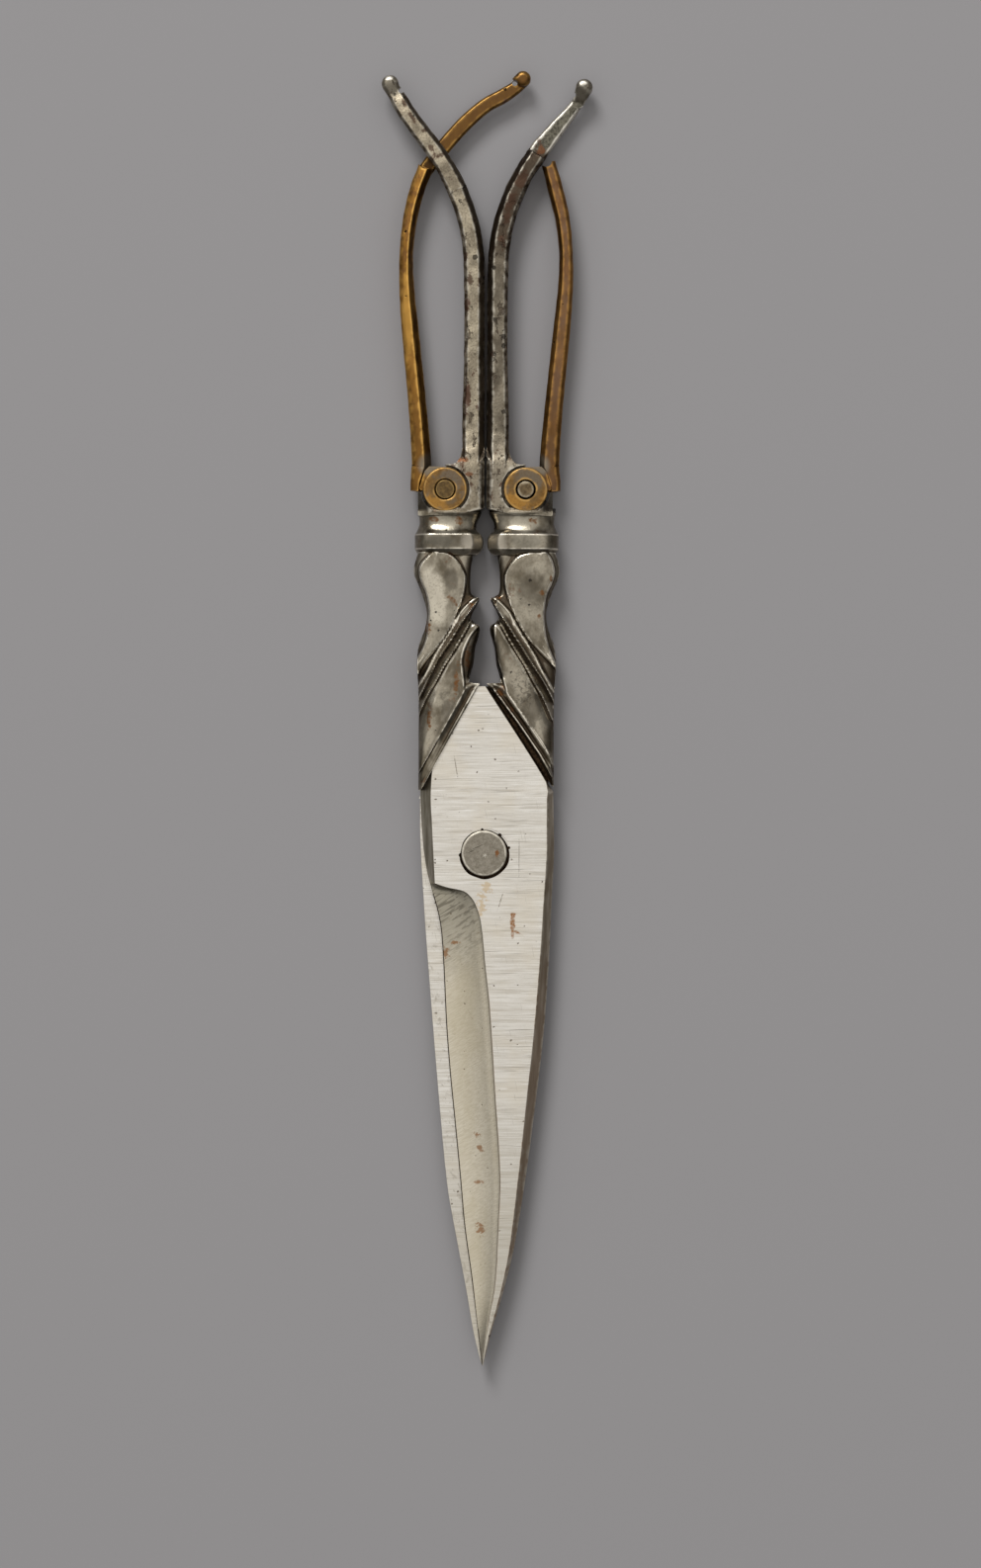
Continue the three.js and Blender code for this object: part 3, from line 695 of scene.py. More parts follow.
def collar(half):
    """Collar with a flat-sided band under a waisted neck."""
    rows = np.array(COLLAR_ROWS)
    rise = np.unique(np.concatenate([
        np.linspace(-0.5, 0.5, 9), [0.42, 0.58, 2.62, 2.78], np.linspace(0.5, 2.7, 12),
        np.linspace(2.7, 6.7, 44)]))
    inner = np.interp(rise, rows[:, 0], rows[:, 1])
    to = np.interp(rise, rows[:, 0], rows[:, 2])
    half_height = np.interp(rise, rows[:, 0], rows[:, 3])
    neck = rise > 2.7
    for values, column in ((inner, 1), (to, 2), (half_height, 3)):
        values[neck] = along(rows[2:, [0, column]].tolist())(rise[neck])
    tall = np.clip((rise - COLLAR_BULGE["middle"]) / COLLAR_BULGE["half"], -1, 1)
    bulge_out = COLLAR_BULGE["out"] + COLLAR_BULGE["depth"] * (1 - np.sqrt(1 - tall ** 2))
    inner = np.where(rise < 2.7, bulge_out, np.minimum(bulge_out, np.maximum(inner, 0.6)))
    to = to + OUTER_EXTRA[half]
    centre = (inner + to) / 2
    reach = (to - inner) / 2
    corner = COLLAR_CORNER * reach
    side = COLLAR_SIDE * half_height
    arc = np.linspace(math.pi / 2, 0, 10)[:-1]
    bulge = [(reach - COLLAR_ROUND * (1 - math.cos(t)), half_height * math.sin(t)) for t in arc]
    edge = [(-reach + corner, half_height), (-reach, side)]
    corners = mirrored(edge) + [(a, -z) for a, z in bulge] + [(reach, 0.0)] + bulge[::-1]
    crisp = dense(soften(corners, [0.22] * 4 + [0] * (2 * len(bulge) + 1)), 0.4)
    full = np.stack([reach, half_height], -1)[:, None]
    angle = np.arctan2(*np.moveaxis(crisp / full, -1, 0)[::-1])
    unit = np.stack([np.cos(angle), np.sin(angle)], -1)
    reach_there = (np.abs(unit) ** NECK_ROUNDNESS).sum(-1, keepdims=True) ** (1 / NECK_ROUNDNESS)
    round_neck = full * unit / reach_there
    share = ease(rise, 2.8, 3.6)[:, None, None]
    shape = crisp * (1 - share) + round_neck * share
    y = np.repeat((SHANK_TOP + rise)[:, None], shape.shape[1], 1)
    return solid("collar", np.stack([-centre[:, None] - shape[..., 0], y, shape[..., 1]], -1))


def bevelled(made, width, segments=3, angle=0.5):
    """The object with its sharp edges rounded."""
    modifier = made.modifiers.new("rounded edges", "BEVEL")
    modifier.width = width
    modifier.segments = segments
    modifier.limit_method = "ANGLE"
    modifier.angle_limit = angle
    return settle(made)


def arm_half(rise):
    """Half thickness of an arm, which grows to the block's thickness at its foot."""
    foot = ARM_FOOT_EXTRA * (1 - float(ease(rise, *ARM_FOOT)))
    return ARM_HALF + foot - max(0, rise - ARM_THINS_FROM) * ARM_THINNING


def hinge_block():
    """Block that holds the bow's hinge, with a pocket on each face and a web between them."""
    inner = CLEARANCE / 2
    arm_join = BLOCK_TOP + FLARE_RISE
    turn = np.linspace(0, math.pi / 2, 9)[1:-1]
    flare = [(FLARE_OUT + FLARE_WIDTH * (1 - math.sin(t)), arm_join - FLARE_RISE * math.cos(t))
             for t in turn]
    outline = [(inner, BLOCK_FOOT + 1.1), (0.6, BLOCK_FOOT + 0.75), (4.4, BLOCK_FOOT - 0.2),
               (BLOCK_OUT, BLOCK_FOOT - 0.2), (BLOCK_OUT, LIP_TOP - 0.9), (BLOCK_OUT - 0.5, LIP_TOP),
               (HINGE_OUT, LIP_TOP), (HINGE_OUT, BLOCK_TOP), (5.2, BLOCK_TOP), *flare,
               (FLARE_OUT, arm_join), (inner, arm_join)]
    block = prism("block", [(-out, y) for out, y in outline], -BLOCK_HALF, BLOCK_HALF)
    bevelled(block, BLOCK_BEVEL)
    refine(block.data, BLOCK_MESH)
    for vertex in block.data.vertices:
        rise = vertex.co.y - HINGE_Y
        highest = arm_half(rise) - 0.06 - 0.9 * float(ease(rise, 4.0, 6.4))
        highest -= 0.45 * float(ease(-vertex.co.x, 7.6, 10.2))
        vertex.co.z = max(-highest, min(highest, vertex.co.z))
    cheek = [(-8, LIP_TOP - 1), (-BLOCK_OUT, LIP_TOP - 1), (-BLOCK_OUT, CHEEK_TOP), (-9, CHEEK_TOP)]
    combine(block, [prism("cheek", cheek, *span(face, *CHEEK_LAYER)) for face in (-1, 1)])
    pockets = [disc("pocket", HINGE_OUT, HINGE_Y, POCKET_RADIUS,
                    *span(face, WEB_HALF, BLOCK_HALF + 1)) for face in (-1, 1)]
    over = BLOCK_HALF + 0.1
    corner = [(0.3, ARM_HALF), (-inner, BLOCK_HALF - 0.7), (-inner - 0.8, over), (0.3, over)]
    chamfers = [solid("chamfer", [[(x, y, face * z) for x, z in corner]
                                  for y in (BLOCK_FOOT - 1, arm_join + 1)]) for face in (-1, 1)]
    combine(block, [*pockets, *chamfers], "DIFFERENCE")
    combine(block, [disc("web", HINGE_OUT, HINGE_Y, EYE_RADIUS, -WEB_HALF, WEB_HALF)])
    return combine(block, [disc("bore", HINGE_OUT, HINGE_Y, PIN_HOLE, -4, 4)], "DIFFERENCE")


def span(face, inner, outer):
    """Lowest and highest Z of a layer on the front or the back face."""
    return (inner, outer) if face > 0 else (-outer, -inner)


def arm_section(width, high):
    """Chamfered section of a steel arm."""
    half = width / 2
    outer_cut = np.minimum(0.5, width * 0.16)
    inner_cut = np.minimum(0.85, width * 0.28)
    top = [(half, high - inner_cut - 0.2), (half - inner_cut, high), (outer_cut - half, high),
           (-half, high - outer_cut)]
    return soften(mirrored(top), [0.16] * 8)


def hammered(made, depth, seed, size):
    """Mesh points moved a little along their normals, as on forged metal."""
    mesh = made.data
    co = table(mesh.vertices, "co")
    normal = table(mesh.vertex_normals, "vector")
    push = waves(co[:, 0] + co[:, 2] * 0.7, co[:, 1], seed, size) - 0.6
    co += normal * (depth * np.minimum(push, 0.4))[:, None]
    mesh.vertices.foreach_set("co", co.ravel())
    mesh.update()
    return made


def lap_section(width, high):
    """Section of an arm that is left with its front half only."""
    half = width / 2
    cut = np.minimum(0.4, width * 0.16)
    inner_cut = np.minimum(0.7, width * 0.24)
    low = LAP_FLOOR
    corners = [(half, high - inner_cut), (half - inner_cut, high), (cut - half, high),
               (-half, high - cut), (-half, low + 0.3), (0.3 - half, low), (half - 0.3, low),
               (half, low + 0.3)]
    return soften(corners, [0.14] * 8)


def steel_arm(half):
    """Arm that curves out over the bow, thinned to its front half where the bow crosses it."""
    path = [(out, HINGE_Y + rise, width, arm_half(rise))
            for out, rise, width in ARM_PATH + ARM_TOP[half]]
    lap_out, lap_rise = LAP_START[half]
    lower = [point for point in path if point[1] < HINGE_Y + lap_rise - 1.5]
    upper = path[len(lower) - 1:]
    for back, share in LAP_END:
        lower.append((lap_out - LAP_WAY[0] * back, HINGE_Y + lap_rise - LAP_WAY[1] * back,
                      LAP_WIDTH * share, ARM_HALF * share))
    arm = bar("arm", lower, arm_section, ARM_STEPS)
    seed = HAMMER_SEED[half]
    hammered(arm, 0.05, seed, HAMMER_SIZE)
    end_out, end_y, *_ = path[-1]
    knob = drop_end("knob", end_out + 0.05, end_y + 0.2, KNOB_RADIUS, *KNOB_TAIL[half], KNOB_FLOOR,
                    KNOB_TOP[half], KNOB_ROUND)
    lap = hammered(bar("lap", upper, lap_section, ARM_STEPS), 0.04, seed, HAMMER_SIZE)
    combine(arm, [lap, knob])
    notch = disc("notch", end_out - 1.6, end_y - 0.85, NOTCH_RADIUS, -3, 3, 32)
    return combine(arm, [notch], "DIFFERENCE")


def steel_half(half):
    """One forging: blade, shank, collar, hinge block and arm, with its bore and recess."""
    body = blade(half)
    combine(body, [shank(half), collar(half), hinge_block(), steel_arm(half)])
    combine(body, [prism("bore", round_outline(0, 0, RIVET_SHANK + CLEARANCE), -1, 4)], "DIFFERENCE")
    if half == "front":
        nicks = [disc("nick", out, y, radius, BLADE_TOP - depth, 4, 20)
                 for out, y, radius, depth in RECESS_NICKS]
        recess = prism("recess", round_outline(*RECESS_OUTLINE), BLADE_TOP - RIVET_RECESS, 4)
        ledge = prism("ledge", round_outline(*LEDGE_OUTLINE), BLADE_TOP - LEDGE_DEPTH, 4)
        combine(body, [recess, ledge, *nicks], "DIFFERENCE")
    return body


# Brass bows

def bow_section(half):
    """Section of a bow: a ridge near the inner side on one, a flat face on the other."""
    outer_cut, outer_drop, outer_lean, inner_cut, inner_drop = BOW_CUTS[half]

    def section(width):
        """Closed sections for an array of widths."""
        side = width / 2
        return soften(mirrored([
            (-side, BOW_HALF - outer_drop), (-side + outer_cut * width, BOW_HALF - outer_lean),
            (side - inner_cut * width, BOW_HALF), (side, BOW_HALF - inner_drop)]), BOW_ROUNDING[half])
    return section


def tongue_section(width):
    """Section of the tongue, which keeps below the steel arm."""
    half = width / 2
    low, high, cut = -BOW_HALF, -LAP_FLOOR, 0.32
    corners = [(-half, low + cut), (-half, high - cut), (cut - half, high), (half - cut, high),
               (half, high - cut), (half, low + cut), (half - cut, low), (cut - half, low)]
    return soften(corners, [0.1] * 8)


def bow(half):
    """Brass bow with a forked eye. The left one still has the tongue and hook."""
    def place(point):
        """Point of a bow's drawing brought to the half's own distances."""
        beyond, rise, *width = point
        return (HINGE_OUT + beyond, HINGE_Y + rise, *width)
    body = bar("bow", [place(p) for p in BOW_PATH + [BOW_END[half]]], bow_section(half), 20)
    hammered(body, 0.03, BOW_HAMMER_SEED[half], 3.0)
    tab = [(-place(p)[0], place(p)[1]) for p in [(0, EYE_RADIUS), *EYE_TAB]]
    for face in (-1, 1):
        low, high = span(face, EYE_FLOOR, EYE_TOP)
        eye = bevelled(disc("eye", HINGE_OUT, HINGE_Y, EYE_SHOWN, low, high), 0.12)
        combine(body, [eye, prism("tab", tab, low, high)])
    crotch = disc("crotch", HINGE_OUT, HINGE_Y, POCKET_RADIUS, -EYE_FLOOR, EYE_FLOOR)
    bore = disc("bore", HINGE_OUT, HINGE_Y, PIN_HOLE, -3, 3)
    end_out, end_y, _ = place(BOW_END[half])
    if half == "front":
        scoop = domed_end("scoop", end_out - 0.1, end_y + 0.75, 1.15, 0.0, 3, 0.3)
    else:
        scoop = domed_end("scoop", end_out - 0.3, end_y + 0.1, 0.8, -3, 3, 0.1)
    combine(body, [crotch, bore, scoop], "DIFFERENCE")
    if half == "rear":
        return body
    tongue = bar("tongue", [place(p) for p in TONGUE_PATH], tongue_section, 14)
    end_out, end_y, _ = place(TONGUE_PATH[-1])
    hook = domed_end("hook", end_out, end_y + 0.2, 1.18, -BOW_HALF, 0.9, 0.75, 0.4)
    combine(body, [tongue, hook])
    notch = disc("notch", end_out + 1.25, end_y - 0.45, NOTCH_RADIUS, -3, 3, 32)
    return combine(body, [notch], "DIFFERENCE")


# Node trees

def feed(tree, socket, value):
    """Links a socket to another one, or sets it to a value."""
    if isinstance(value, bpy.types.NodeSocket):
        tree.links.new(value, socket)
    else:
        socket.default_value = value


def add_node(tree, kind, inputs=None, **settings):
    """New node with its settings made and its inputs fed."""
    node = tree.nodes.new(kind)
    for key, value in settings.items():
        setattr(node, key, value)
    for key, value in (inputs or {}).items():
        feed(tree, node.inputs[key], value)
    return node


# Turned pieces: washers, pins and the rivet

TURNED_SIDES = 96
TURNED_VALUES = [
    ("Outer radius", "Float"), ("Hole radius", "Float"), ("Foot", "Float"), ("Top", "Float"),
    ("Edge", "Float"), ("Sides", "Int"), ("Finish", "Material")]
FACE_STEPS = (2.4, 3.0)


def turned_profile():
    """Rim and hole of a turned piece: a radius and a height, each moved by so many edge widths."""
    arc = np.linspace(0, math.pi / 2, 4)
    rim = [("Outer radius", math.sin(a) - 1, "Foot", 1 - math.cos(a)) for a in arc]
    rim += [("Outer radius", math.cos(a) - 1, "Top", math.sin(a) - 1) for a in arc]
    rim += [("Outer radius", -step, "Top", 0.0) for step in FACE_STEPS]
    hole = [("Hole radius", step, "Top", 0.0) for step in reversed(FACE_STEPS)]
    hole += [("Hole radius", 1 - math.sin(a), "Top", math.cos(a) - 1) for a in arc]
    return rim, hole + [("Hole radius", 0.0, "Foot", 0.0)]


def turned_tree():
    """Geometry nodes for a turned ring or stud, made of one band for each step of its profile."""
    tree = bpy.data.node_groups.new("turned piece", "GeometryNodeTree")
    inputs = {}
    for name, kind in TURNED_VALUES:
        socket = tree.interface.new_socket(name=name, in_out="INPUT", socket_type="NodeSocket" + kind)
        inputs[name] = socket.identifier
    tree.interface.new_socket(name="Geometry", in_out="OUTPUT", socket_type="NodeSocketGeometry")
    start = tree.nodes.new("NodeGroupInput").outputs
    hole_edge = add_node(tree, "ShaderNodeMath", {0: start["Edge"], 1: start["Hole radius"]},
                         operation="MINIMUM").outputs[0]

    def offset(base, factor, edge):
        """Value of the piece with a share of its edge's width added."""
        return add_node(tree, "ShaderNodeMath", {0: edge, 1: factor, 2: start[base]},
                        operation="MULTIPLY_ADD").outputs[0]

    rim, hole = turned_profile()
    points = [(offset(r, i, edge), offset(z, j, edge))
              for profile, edge in ((rim, start["Edge"]), (hole, hole_edge)) for r, i, z, j in profile]
    join = tree.nodes.new("GeometryNodeJoinGeometry")
    for (r0, z0), (r1, z1) in zip(points, points[1:] + points[:1]):
        band = add_node(tree, "GeometryNodeMeshCone", {
            "Vertices": start["Sides"], "Radius Bottom": r0, "Radius Top": r1, "Depth": 1.0},
            fill_type="NONE")
        height = add_node(tree, "ShaderNodeMath", {0: z1, 1: z0}, operation="SUBTRACT").outputs[0]
        place = add_node(tree, "ShaderNodeCombineXYZ", {"Z": z0}).outputs[0]
        stretch = add_node(tree, "ShaderNodeCombineXYZ", {"X": 1.0, "Y": 1.0, "Z": height}).outputs[0]
        moved = add_node(tree, "GeometryNodeTransform", {
            "Geometry": band.outputs["Mesh"], "Translation": place, "Scale": stretch})
        tree.links.new(moved.outputs[0], join.inputs[0])
    realized = add_node(tree, "GeometryNodeRealizeInstances", {0: join.outputs[0]}).outputs[0]
    finished = add_node(tree, "GeometryNodeSetMaterial", {
        "Geometry": realized, "Material": start["Finish"]})
    add_node(tree, "NodeGroupOutput", {0: finished.outputs[0]})
    return tree, inputs


TURNED_TREE, TURNED_INPUTS = turned_tree()


def turned(name, x, y, outer, hole, foot, top, edge, finish):
    """Turned piece on an upright axis at (x, y), in millimetres."""
    made = shell(name, [(0, 0, 0)], [])
    modifier = made.modifiers.new("turned piece", "NODES")
    modifier.node_group = TURNED_TREE
    values = (outer, hole, foot, top, edge, TURNED_SIDES, finish)
    for (key, _), value in zip(TURNED_VALUES, values):
        modifier[TURNED_INPUTS[key]] = value
    settle(made)
    with opened(made.data) as form:
        bmesh.ops.remove_doubles(form, verts=form.verts, dist=0.001)
        bmesh.ops.dissolve_degenerate(form, edges=form.edges, dist=0.0005)
        bmesh.ops.recalc_face_normals(form, faces=form.faces)
    made.data.transform(Matrix.Translation((x, y, 0)))
    return made


# Finishes. Colours are the 0 to 255 values that a face shows on a screen, and places are in
# millimetres on the piece. A stain is [x, Y, reach in x, reach in Y, raggedness, turn, seed, grain].

def paint(red, green, blue):
    """Linear colour from its screen values."""
    return tuple(((v / 255 + 0.055) / 1.055) ** 2.4 if v > 10 else v / 3294.6
                 for v in (red, green, blue)) + (1.0,)


class Finish:
    """Metal finish put together node by node, one colour laid over the other."""

    def __init__(self, name):
        """Starts with a bare metal shader and the places it reads."""
        self.material = bpy.data.materials.new(name)
        self.material.use_nodes = True
        self.tree = self.material.node_tree
        self.tree.nodes.clear()
        self.shader = self.add("ShaderNodeBsdfPrincipled", {"Metallic": 1.0})
        self.add("ShaderNodeOutputMaterial", {"Surface": self.shader.outputs[0]})
        place = self.add("ShaderNodeTexCoord").outputs["Object"]
        self.place = self.add("ShaderNodeVectorMath", {0: place, "Scale": 1 / MILLIMETRE},
                              operation="SCALE").outputs[0]
        self.across, self.up, self.height = self.add("ShaderNodeSeparateXYZ", {0: self.place}).outputs

    def add(self, kind, inputs=None, **settings):
        """New node in this finish."""
        return add_node(self.tree, kind, inputs, **settings)

    def sum(self, operation, a, b=0.0, c=0.0):
        """Result of a node for sums."""
        return self.add("ShaderNodeMath", {0: a, 1: b, 2: c}, operation=operation).outputs[0]

    def product(self, *values):
        """Values multiplied together."""
        result = values[0]
        for value in values[1:]:
            result = self.sum("MULTIPLY", result, value)
        return result

    def most(self, *values):
        """Highest of the values."""
        result = values[0]
        for value in values[1:]:
            result = self.sum("MAXIMUM", result, value)
        return result

    def step(self, value, low, high, to_low=0.0, to_high=1.0):
        """Value brought smoothly from one range to another."""
        node = self.add("ShaderNodeMapRange", {
            "Value": value, "From Min": low, "From Max": high, "To Min": to_low, "To Max": to_high},
            interpolation_type="SMOOTHSTEP")
        return node.outputs[0]

    def mix(self, share, a, b):
        """Two colours mixed. Each is a socket or three screen values."""
        a, b = (c if isinstance(c, bpy.types.NodeSocket) else paint(*c) for c in (a, b))
        return self.add("ShaderNodeMix", {0: share, 6: a, 7: b}, data_type="RGBA").outputs[2]

    def base(self, dark, light, share):
        """First colour, from dark to light."""
        self.colour = self.mix(share, dark, light)

    def lay(self, colour, *shares):
        """Another colour over the one so far, by the product of the shares."""
        self.colour = self.mix(self.product(*shares), self.colour, colour)

    def grain(self, size, stretch=(1, 1, 1), turn=0.0, detail=3.0, roughness=0.5, seed=0.0, warp=0.0):
        """Uneven field from 0 to 1 whose patches are about size millimetres across."""
        mapping = self.add("ShaderNodeMapping", {
            "Vector": self.place, "Rotation": (0, 0, turn), "Location": (seed * 9, seed * 5, 0),
            "Scale": tuple(size * s for s in stretch)}, vector_type="TEXTURE")
        node = self.add("ShaderNodeTexNoise", {
            "Vector": mapping.outputs[0], "Scale": 1.0, "Detail": detail, "Roughness": roughness,
            "Distortion": warp})
        return node.outputs[0]

    def pits(self, size, spread, seed=0.0, reach=0.2):
        """Small ragged marks, one to a cell at most: 1 in a pit and 0 outside."""
        ragged = self.add("ShaderNodeTexNoise", {"Vector": self.place, "Scale": 3.5, "Detail": 2.0})
        shift = self.add("ShaderNodeVectorMath", {0: ragged.outputs["Color"], "Scale": 0.35},
                         operation="SCALE").outputs[0]
        moved = self.add("ShaderNodeVectorMath", {0: self.place, 1: shift}, operation="ADD").outputs[0]
        mapping = self.add("ShaderNodeMapping", {
            "Vector": moved, "Location": (seed, seed, seed), "Scale": (1 / size,) * 3})
        cells = self.add("ShaderNodeTexVoronoi", {"Vector": mapping.outputs[0], "Scale": 1.0},
                         feature="F1")
        chance = self.add("ShaderNodeSeparateColor", {0: cells.outputs["Color"]}).outputs[0]
        size_here = self.step(chance, 1 - spread, 1.0, 0.0, reach)
        return self.step(self.sum("SUBTRACT", size_here, cells.outputs["Distance"]), 0.0, 0.08)

    def stain(self, x, y, reach_x, reach_y, ragged=0.5, turn=0.0, seed=0.0, fine=1.3):
        """Ragged stain round one place, from 1 in its middle to 0."""
        moved = self.add("ShaderNodeMapping", {
            "Vector": self.place, "Location": (-x, -y, 0)}, vector_type="POINT").outputs[0]
        turned_place = self.add("ShaderNodeVectorRotate", {
            "Vector": moved, "Angle": turn}, rotation_type="Z_AXIS").outputs[0]
        scaled = self.add("ShaderNodeVectorMath", {
            0: turned_place, 1: (1 / reach_x, 1 / reach_y, 0)}, operation="MULTIPLY").outputs[0]
        far = self.add("ShaderNodeVectorMath", {0: scaled}, operation="LENGTH").outputs["Value"]
        rough = self.grain(min(reach_x, reach_y) * fine + 0.1, seed=seed, detail=4.0, roughness=0.7)
        edge = self.sum("MULTIPLY_ADD", self.sum("SUBTRACT", rough, 0.5), ragged * 4, far)
        return self.step(edge, 1.0, 0.55)

    def stains(self, *places):
        """Stains round several places."""
        return self.most(*(self.stain(*place) for place in places))

    def mark(self, name):
        """Value that mark_relief left on the mesh."""
        return self.add("ShaderNodeAttribute", attribute_name=name).outputs["Fac"]

    def wear_and_edge_highlights(self, low, high, share):
        """Share of bright colour along sharp edges, uneven: partly bare metal worn bright, partly
        painted highlights on the edges.
        """
        uneven = self.step(self.grain(1.2, seed=41), 0.3, 0.65, 0.45, 1.15)
        return self.step(self.product(self.mark("crest"), uneven), low, high, 0.0, share)

    def close(self, rough, height, depth=1.0):
        """Colour, roughness and a height in millimetres brought to the shader."""
        bump = self.add("ShaderNodeBump", {"Strength": depth, "Distance": MILLIMETRE, "Height": height})
        for name, value in (("Base Color", self.colour), ("Roughness", rough),
                            ("Normal", bump.outputs[0])):
            feed(self.tree, self.shader.inputs[name], value)
        return self.material


PIT = (46, 42, 36)
RUST = (70, 42, 30)


def brushed_flat():
    """Flat faces of the blades: fine lines across, small pits and a few stains."""
    f = Finish("brushed blade face")
    lines = f.grain(0.1, (60, 1, 1), detail=4.0, roughness=0.7)
    broad = f.grain(0.5, (44, 1, 1), seed=7)
    tone = f.sum("ADD", f.product(lines, 0.72), f.product(broad, 0.28))
    f.base((190, 183, 171), (224, 220, 212), f.step(tone, 0.36, 0.62))
    sand = f.grain(0.14, detail=2.0, roughness=0.7, seed=2)
    f.lay((172, 164, 151), f.step(sand, 0.55, 0.8, 0.0, 0.5))
    f.lay((206, 195, 174), f.step(f.grain(6, seed=3), 0.42, 0.7, 0.0, 0.35))
    dark_lines = f.grain(0.16, (40, 1, 1), turn=0.03, detail=2.0, seed=19)
    f.lay((136, 129, 118), f.step(dark_lines, 0.62, 0.72, 0.0, 0.6))
    light_lines = f.grain(0.2, (36, 1, 1), detail=2.0, seed=29)
    f.lay((238, 235, 229), f.step(light_lines, 0.66, 0.74, 0.0, 0.8))
    scratches = f.grain(0.2, (0.8, 22, 1), turn=0.2, detail=1.0, seed=31)
    f.lay((150, 143, 130), f.step(scratches, 0.71, 0.77, 0.0, 0.4))
    f.lay((172, 164, 146), f.step(f.up, -34.0, -62.0, 0.0, 0.45))
    rear_strip = f.step(f.sum("MULTIPLY_ADD", f.up, 0.11, f.across), -5.0, -6.0)
    smudge = f.grain(0.9, (1, 1.6, 1), turn=0.5, detail=5.0, roughness=0.75, seed=41, warp=0.5)
    f.lay((150, 142, 128), f.step(smudge, 0.54, 0.66), f.step(f.up, -6.0, -12.0), rear_strip, 0.6)
    f.lay((118, 108, 94), 0.75, f.stains(
        (-4.3, 13.0, 0.09, 1.9, 0.6, -0.16, 5), (5.3, -0.6, 0.07, 3.2, 0.7, 0, 6),
        (2.5, -7.2, 0.1, 1.4, 0.9, 0.3, 9)))
    pits = f.most(f.pits(2.3, 0.5, 2.0, 0.13), f.pits(0.9, 0.25, 4.0), f.stains(
        (-4.9, 18.2, 0.18, 0.2, 0.3), (-0.9, 18.6, 0.16, 0.16, 0.3)))
    f.lay((92, 78, 60), pits, 0.85)
    f.lay((186, 154, 98), 0.5, f.stains(
        (0.32, -5.3, 0.9, 0.9, 1.4, 0, 4, 0.6), (-0.4, -8.2, 0.6, 1.3, 1.4, 0, 5, 0.8),
        (-0.1, -6.6, 0.9, 0.4, 1.4, 0.6, 8, 0.8)))
    rust_streak = f.stains(
        (4.49, -9.4, 0.55, 0.5, 0.6, 0, 6), (4.3, -10.6, 0.5, 1.3, 0.6, 0, 7),
        (4.35, -12.1, 0.3, 1.1, 0.5, 0, 8), (5.1, -12.0, 0.7, 0.2, 0.8, 0.4, 9))
    patchy = f.grain(0.35, detail=4.0, roughness=0.7, seed=34)
    f.lay((140, 92, 44), rust_streak, f.step(patchy, 0.35, 0.6, 0.4, 0.95))
    height = f.sum("MULTIPLY_ADD", tone, 0.014, f.product(pits, -0.03))
    return f.close(f.sum("MULTIPLY_ADD", tone, 0.2, 0.3), height)


def hollow_ground():
    """Hollow grind: warmer, darker at its upper end, with lines that run up to the right."""
    f = Finish("hollow ground steel")
    lines = f.grain(0.16, (26, 1, 1), turn=0.5, roughness=0.6)
    f.base((190, 181, 162), (206, 198, 180), f.step(lines, 0.35, 0.65))
    shade = f.grain(5, (1, 2.5, 1), detail=2.0, seed=9)
    f.lay((178, 166, 136), f.step(shade, 0.4, 0.7, 0.0, 0.35))
    sand = f.grain(0.16, detail=2.0, roughness=0.7, seed=2)
    f.lay((160, 150, 128), f.step(sand, 0.6, 0.8, 0.0, 0.25))
    heel = f.step(f.sum("MULTIPLY_ADD", f.across, -0.35, f.up), -19.0, -5.5)
    heel_lines = f.step(f.grain(0.3, (30, 1, 1), turn=0.55, seed=12), 0.5, 0.62)
    f.lay((122, 118, 105), heel, 0.6)
    f.lay((92, 86, 74), heel_lines, heel, 0.65)
    pits = f.most(f.pits(2.3, 0.4, 5.0, 0.1), f.pits(0.9, 0.3, 6.0, 0.16))
    f.lay((92, 76, 56), pits, 0.85)
    flecks = f.grain(0.5, (1, 1.7, 1), turn=0.4, roughness=0.8, seed=16)
    f.lay((128, 112, 86), f.step(flecks, 0.66, 0.72, 0.0, 0.5))
    f.lay((138, 94, 54), 0.75, f.stains(
        (-0.4, -57.0, 0.7, 0.8, 1.4, 0, 6, 0.5), (-0.9, -42.6, 0.5, 0.4, 1.2, 0, 7),
        (-5.7, -15.2, 0.5, 1.1, 0.8, 0, 2), (-4.5, -13.6, 0.8, 0.3, 1.0, 0, 5),
        (-0.5, -44.6, 0.7, 0.5, 0.9, 0, 3), (-0.8, -49.9, 0.9, 0.35, 0.9, 0, 4)))
    height = f.sum("MULTIPLY_ADD", lines, 0.012, f.product(pits, -0.02))
    return f.close(f.sum("MULTIPLY_ADD", lines, 0.16, 0.26), height)


def painted_gap_shade():
    """Painted shade: dark brown at the bottom of narrow gaps and along the cutting edge."""
    f = Finish("painted shade in the gaps")
    f.base((34, 26, 19), (62, 48, 34), f.step(f.grain(0.5), 0.35, 0.65))
    return f.close(0.6, f.grain(0.3), 0.1)


def blade_sides():
    """Bevels, spine and tang sides: darker, smeared lengthwise."""
    f = Finish("darkened blade bevel")
    smear = f.grain(0.6, (1, 14, 1), detail=4.0, roughness=0.6)
    f.base((142, 134, 117), (190, 183, 167), f.step(smear, 0.35, 0.7))
    f.lay((104, 92, 70), f.step(f.grain(3.5, (1, 3, 1), seed=8), 0.55, 0.7, 0.0, 0.6))
    f.lay((176, 150, 128), f.step(f.across, 0.0, 1.0), f.step(f.up, -8.0, -30.0, 0.2, 0.6))
    f.lay((214, 206, 190), f.wear_and_edge_highlights(0.25, 0.8, 0.8))
    pits = f.pits(1.3, 0.3, 9.0)
    f.lay(PIT, pits)
    height = f.sum("MULTIPLY_ADD", smear, 0.02, f.product(pits, -0.03))
    return f.close(f.sum("MULTIPLY_ADD", smear, 0.2, 0.3), height)


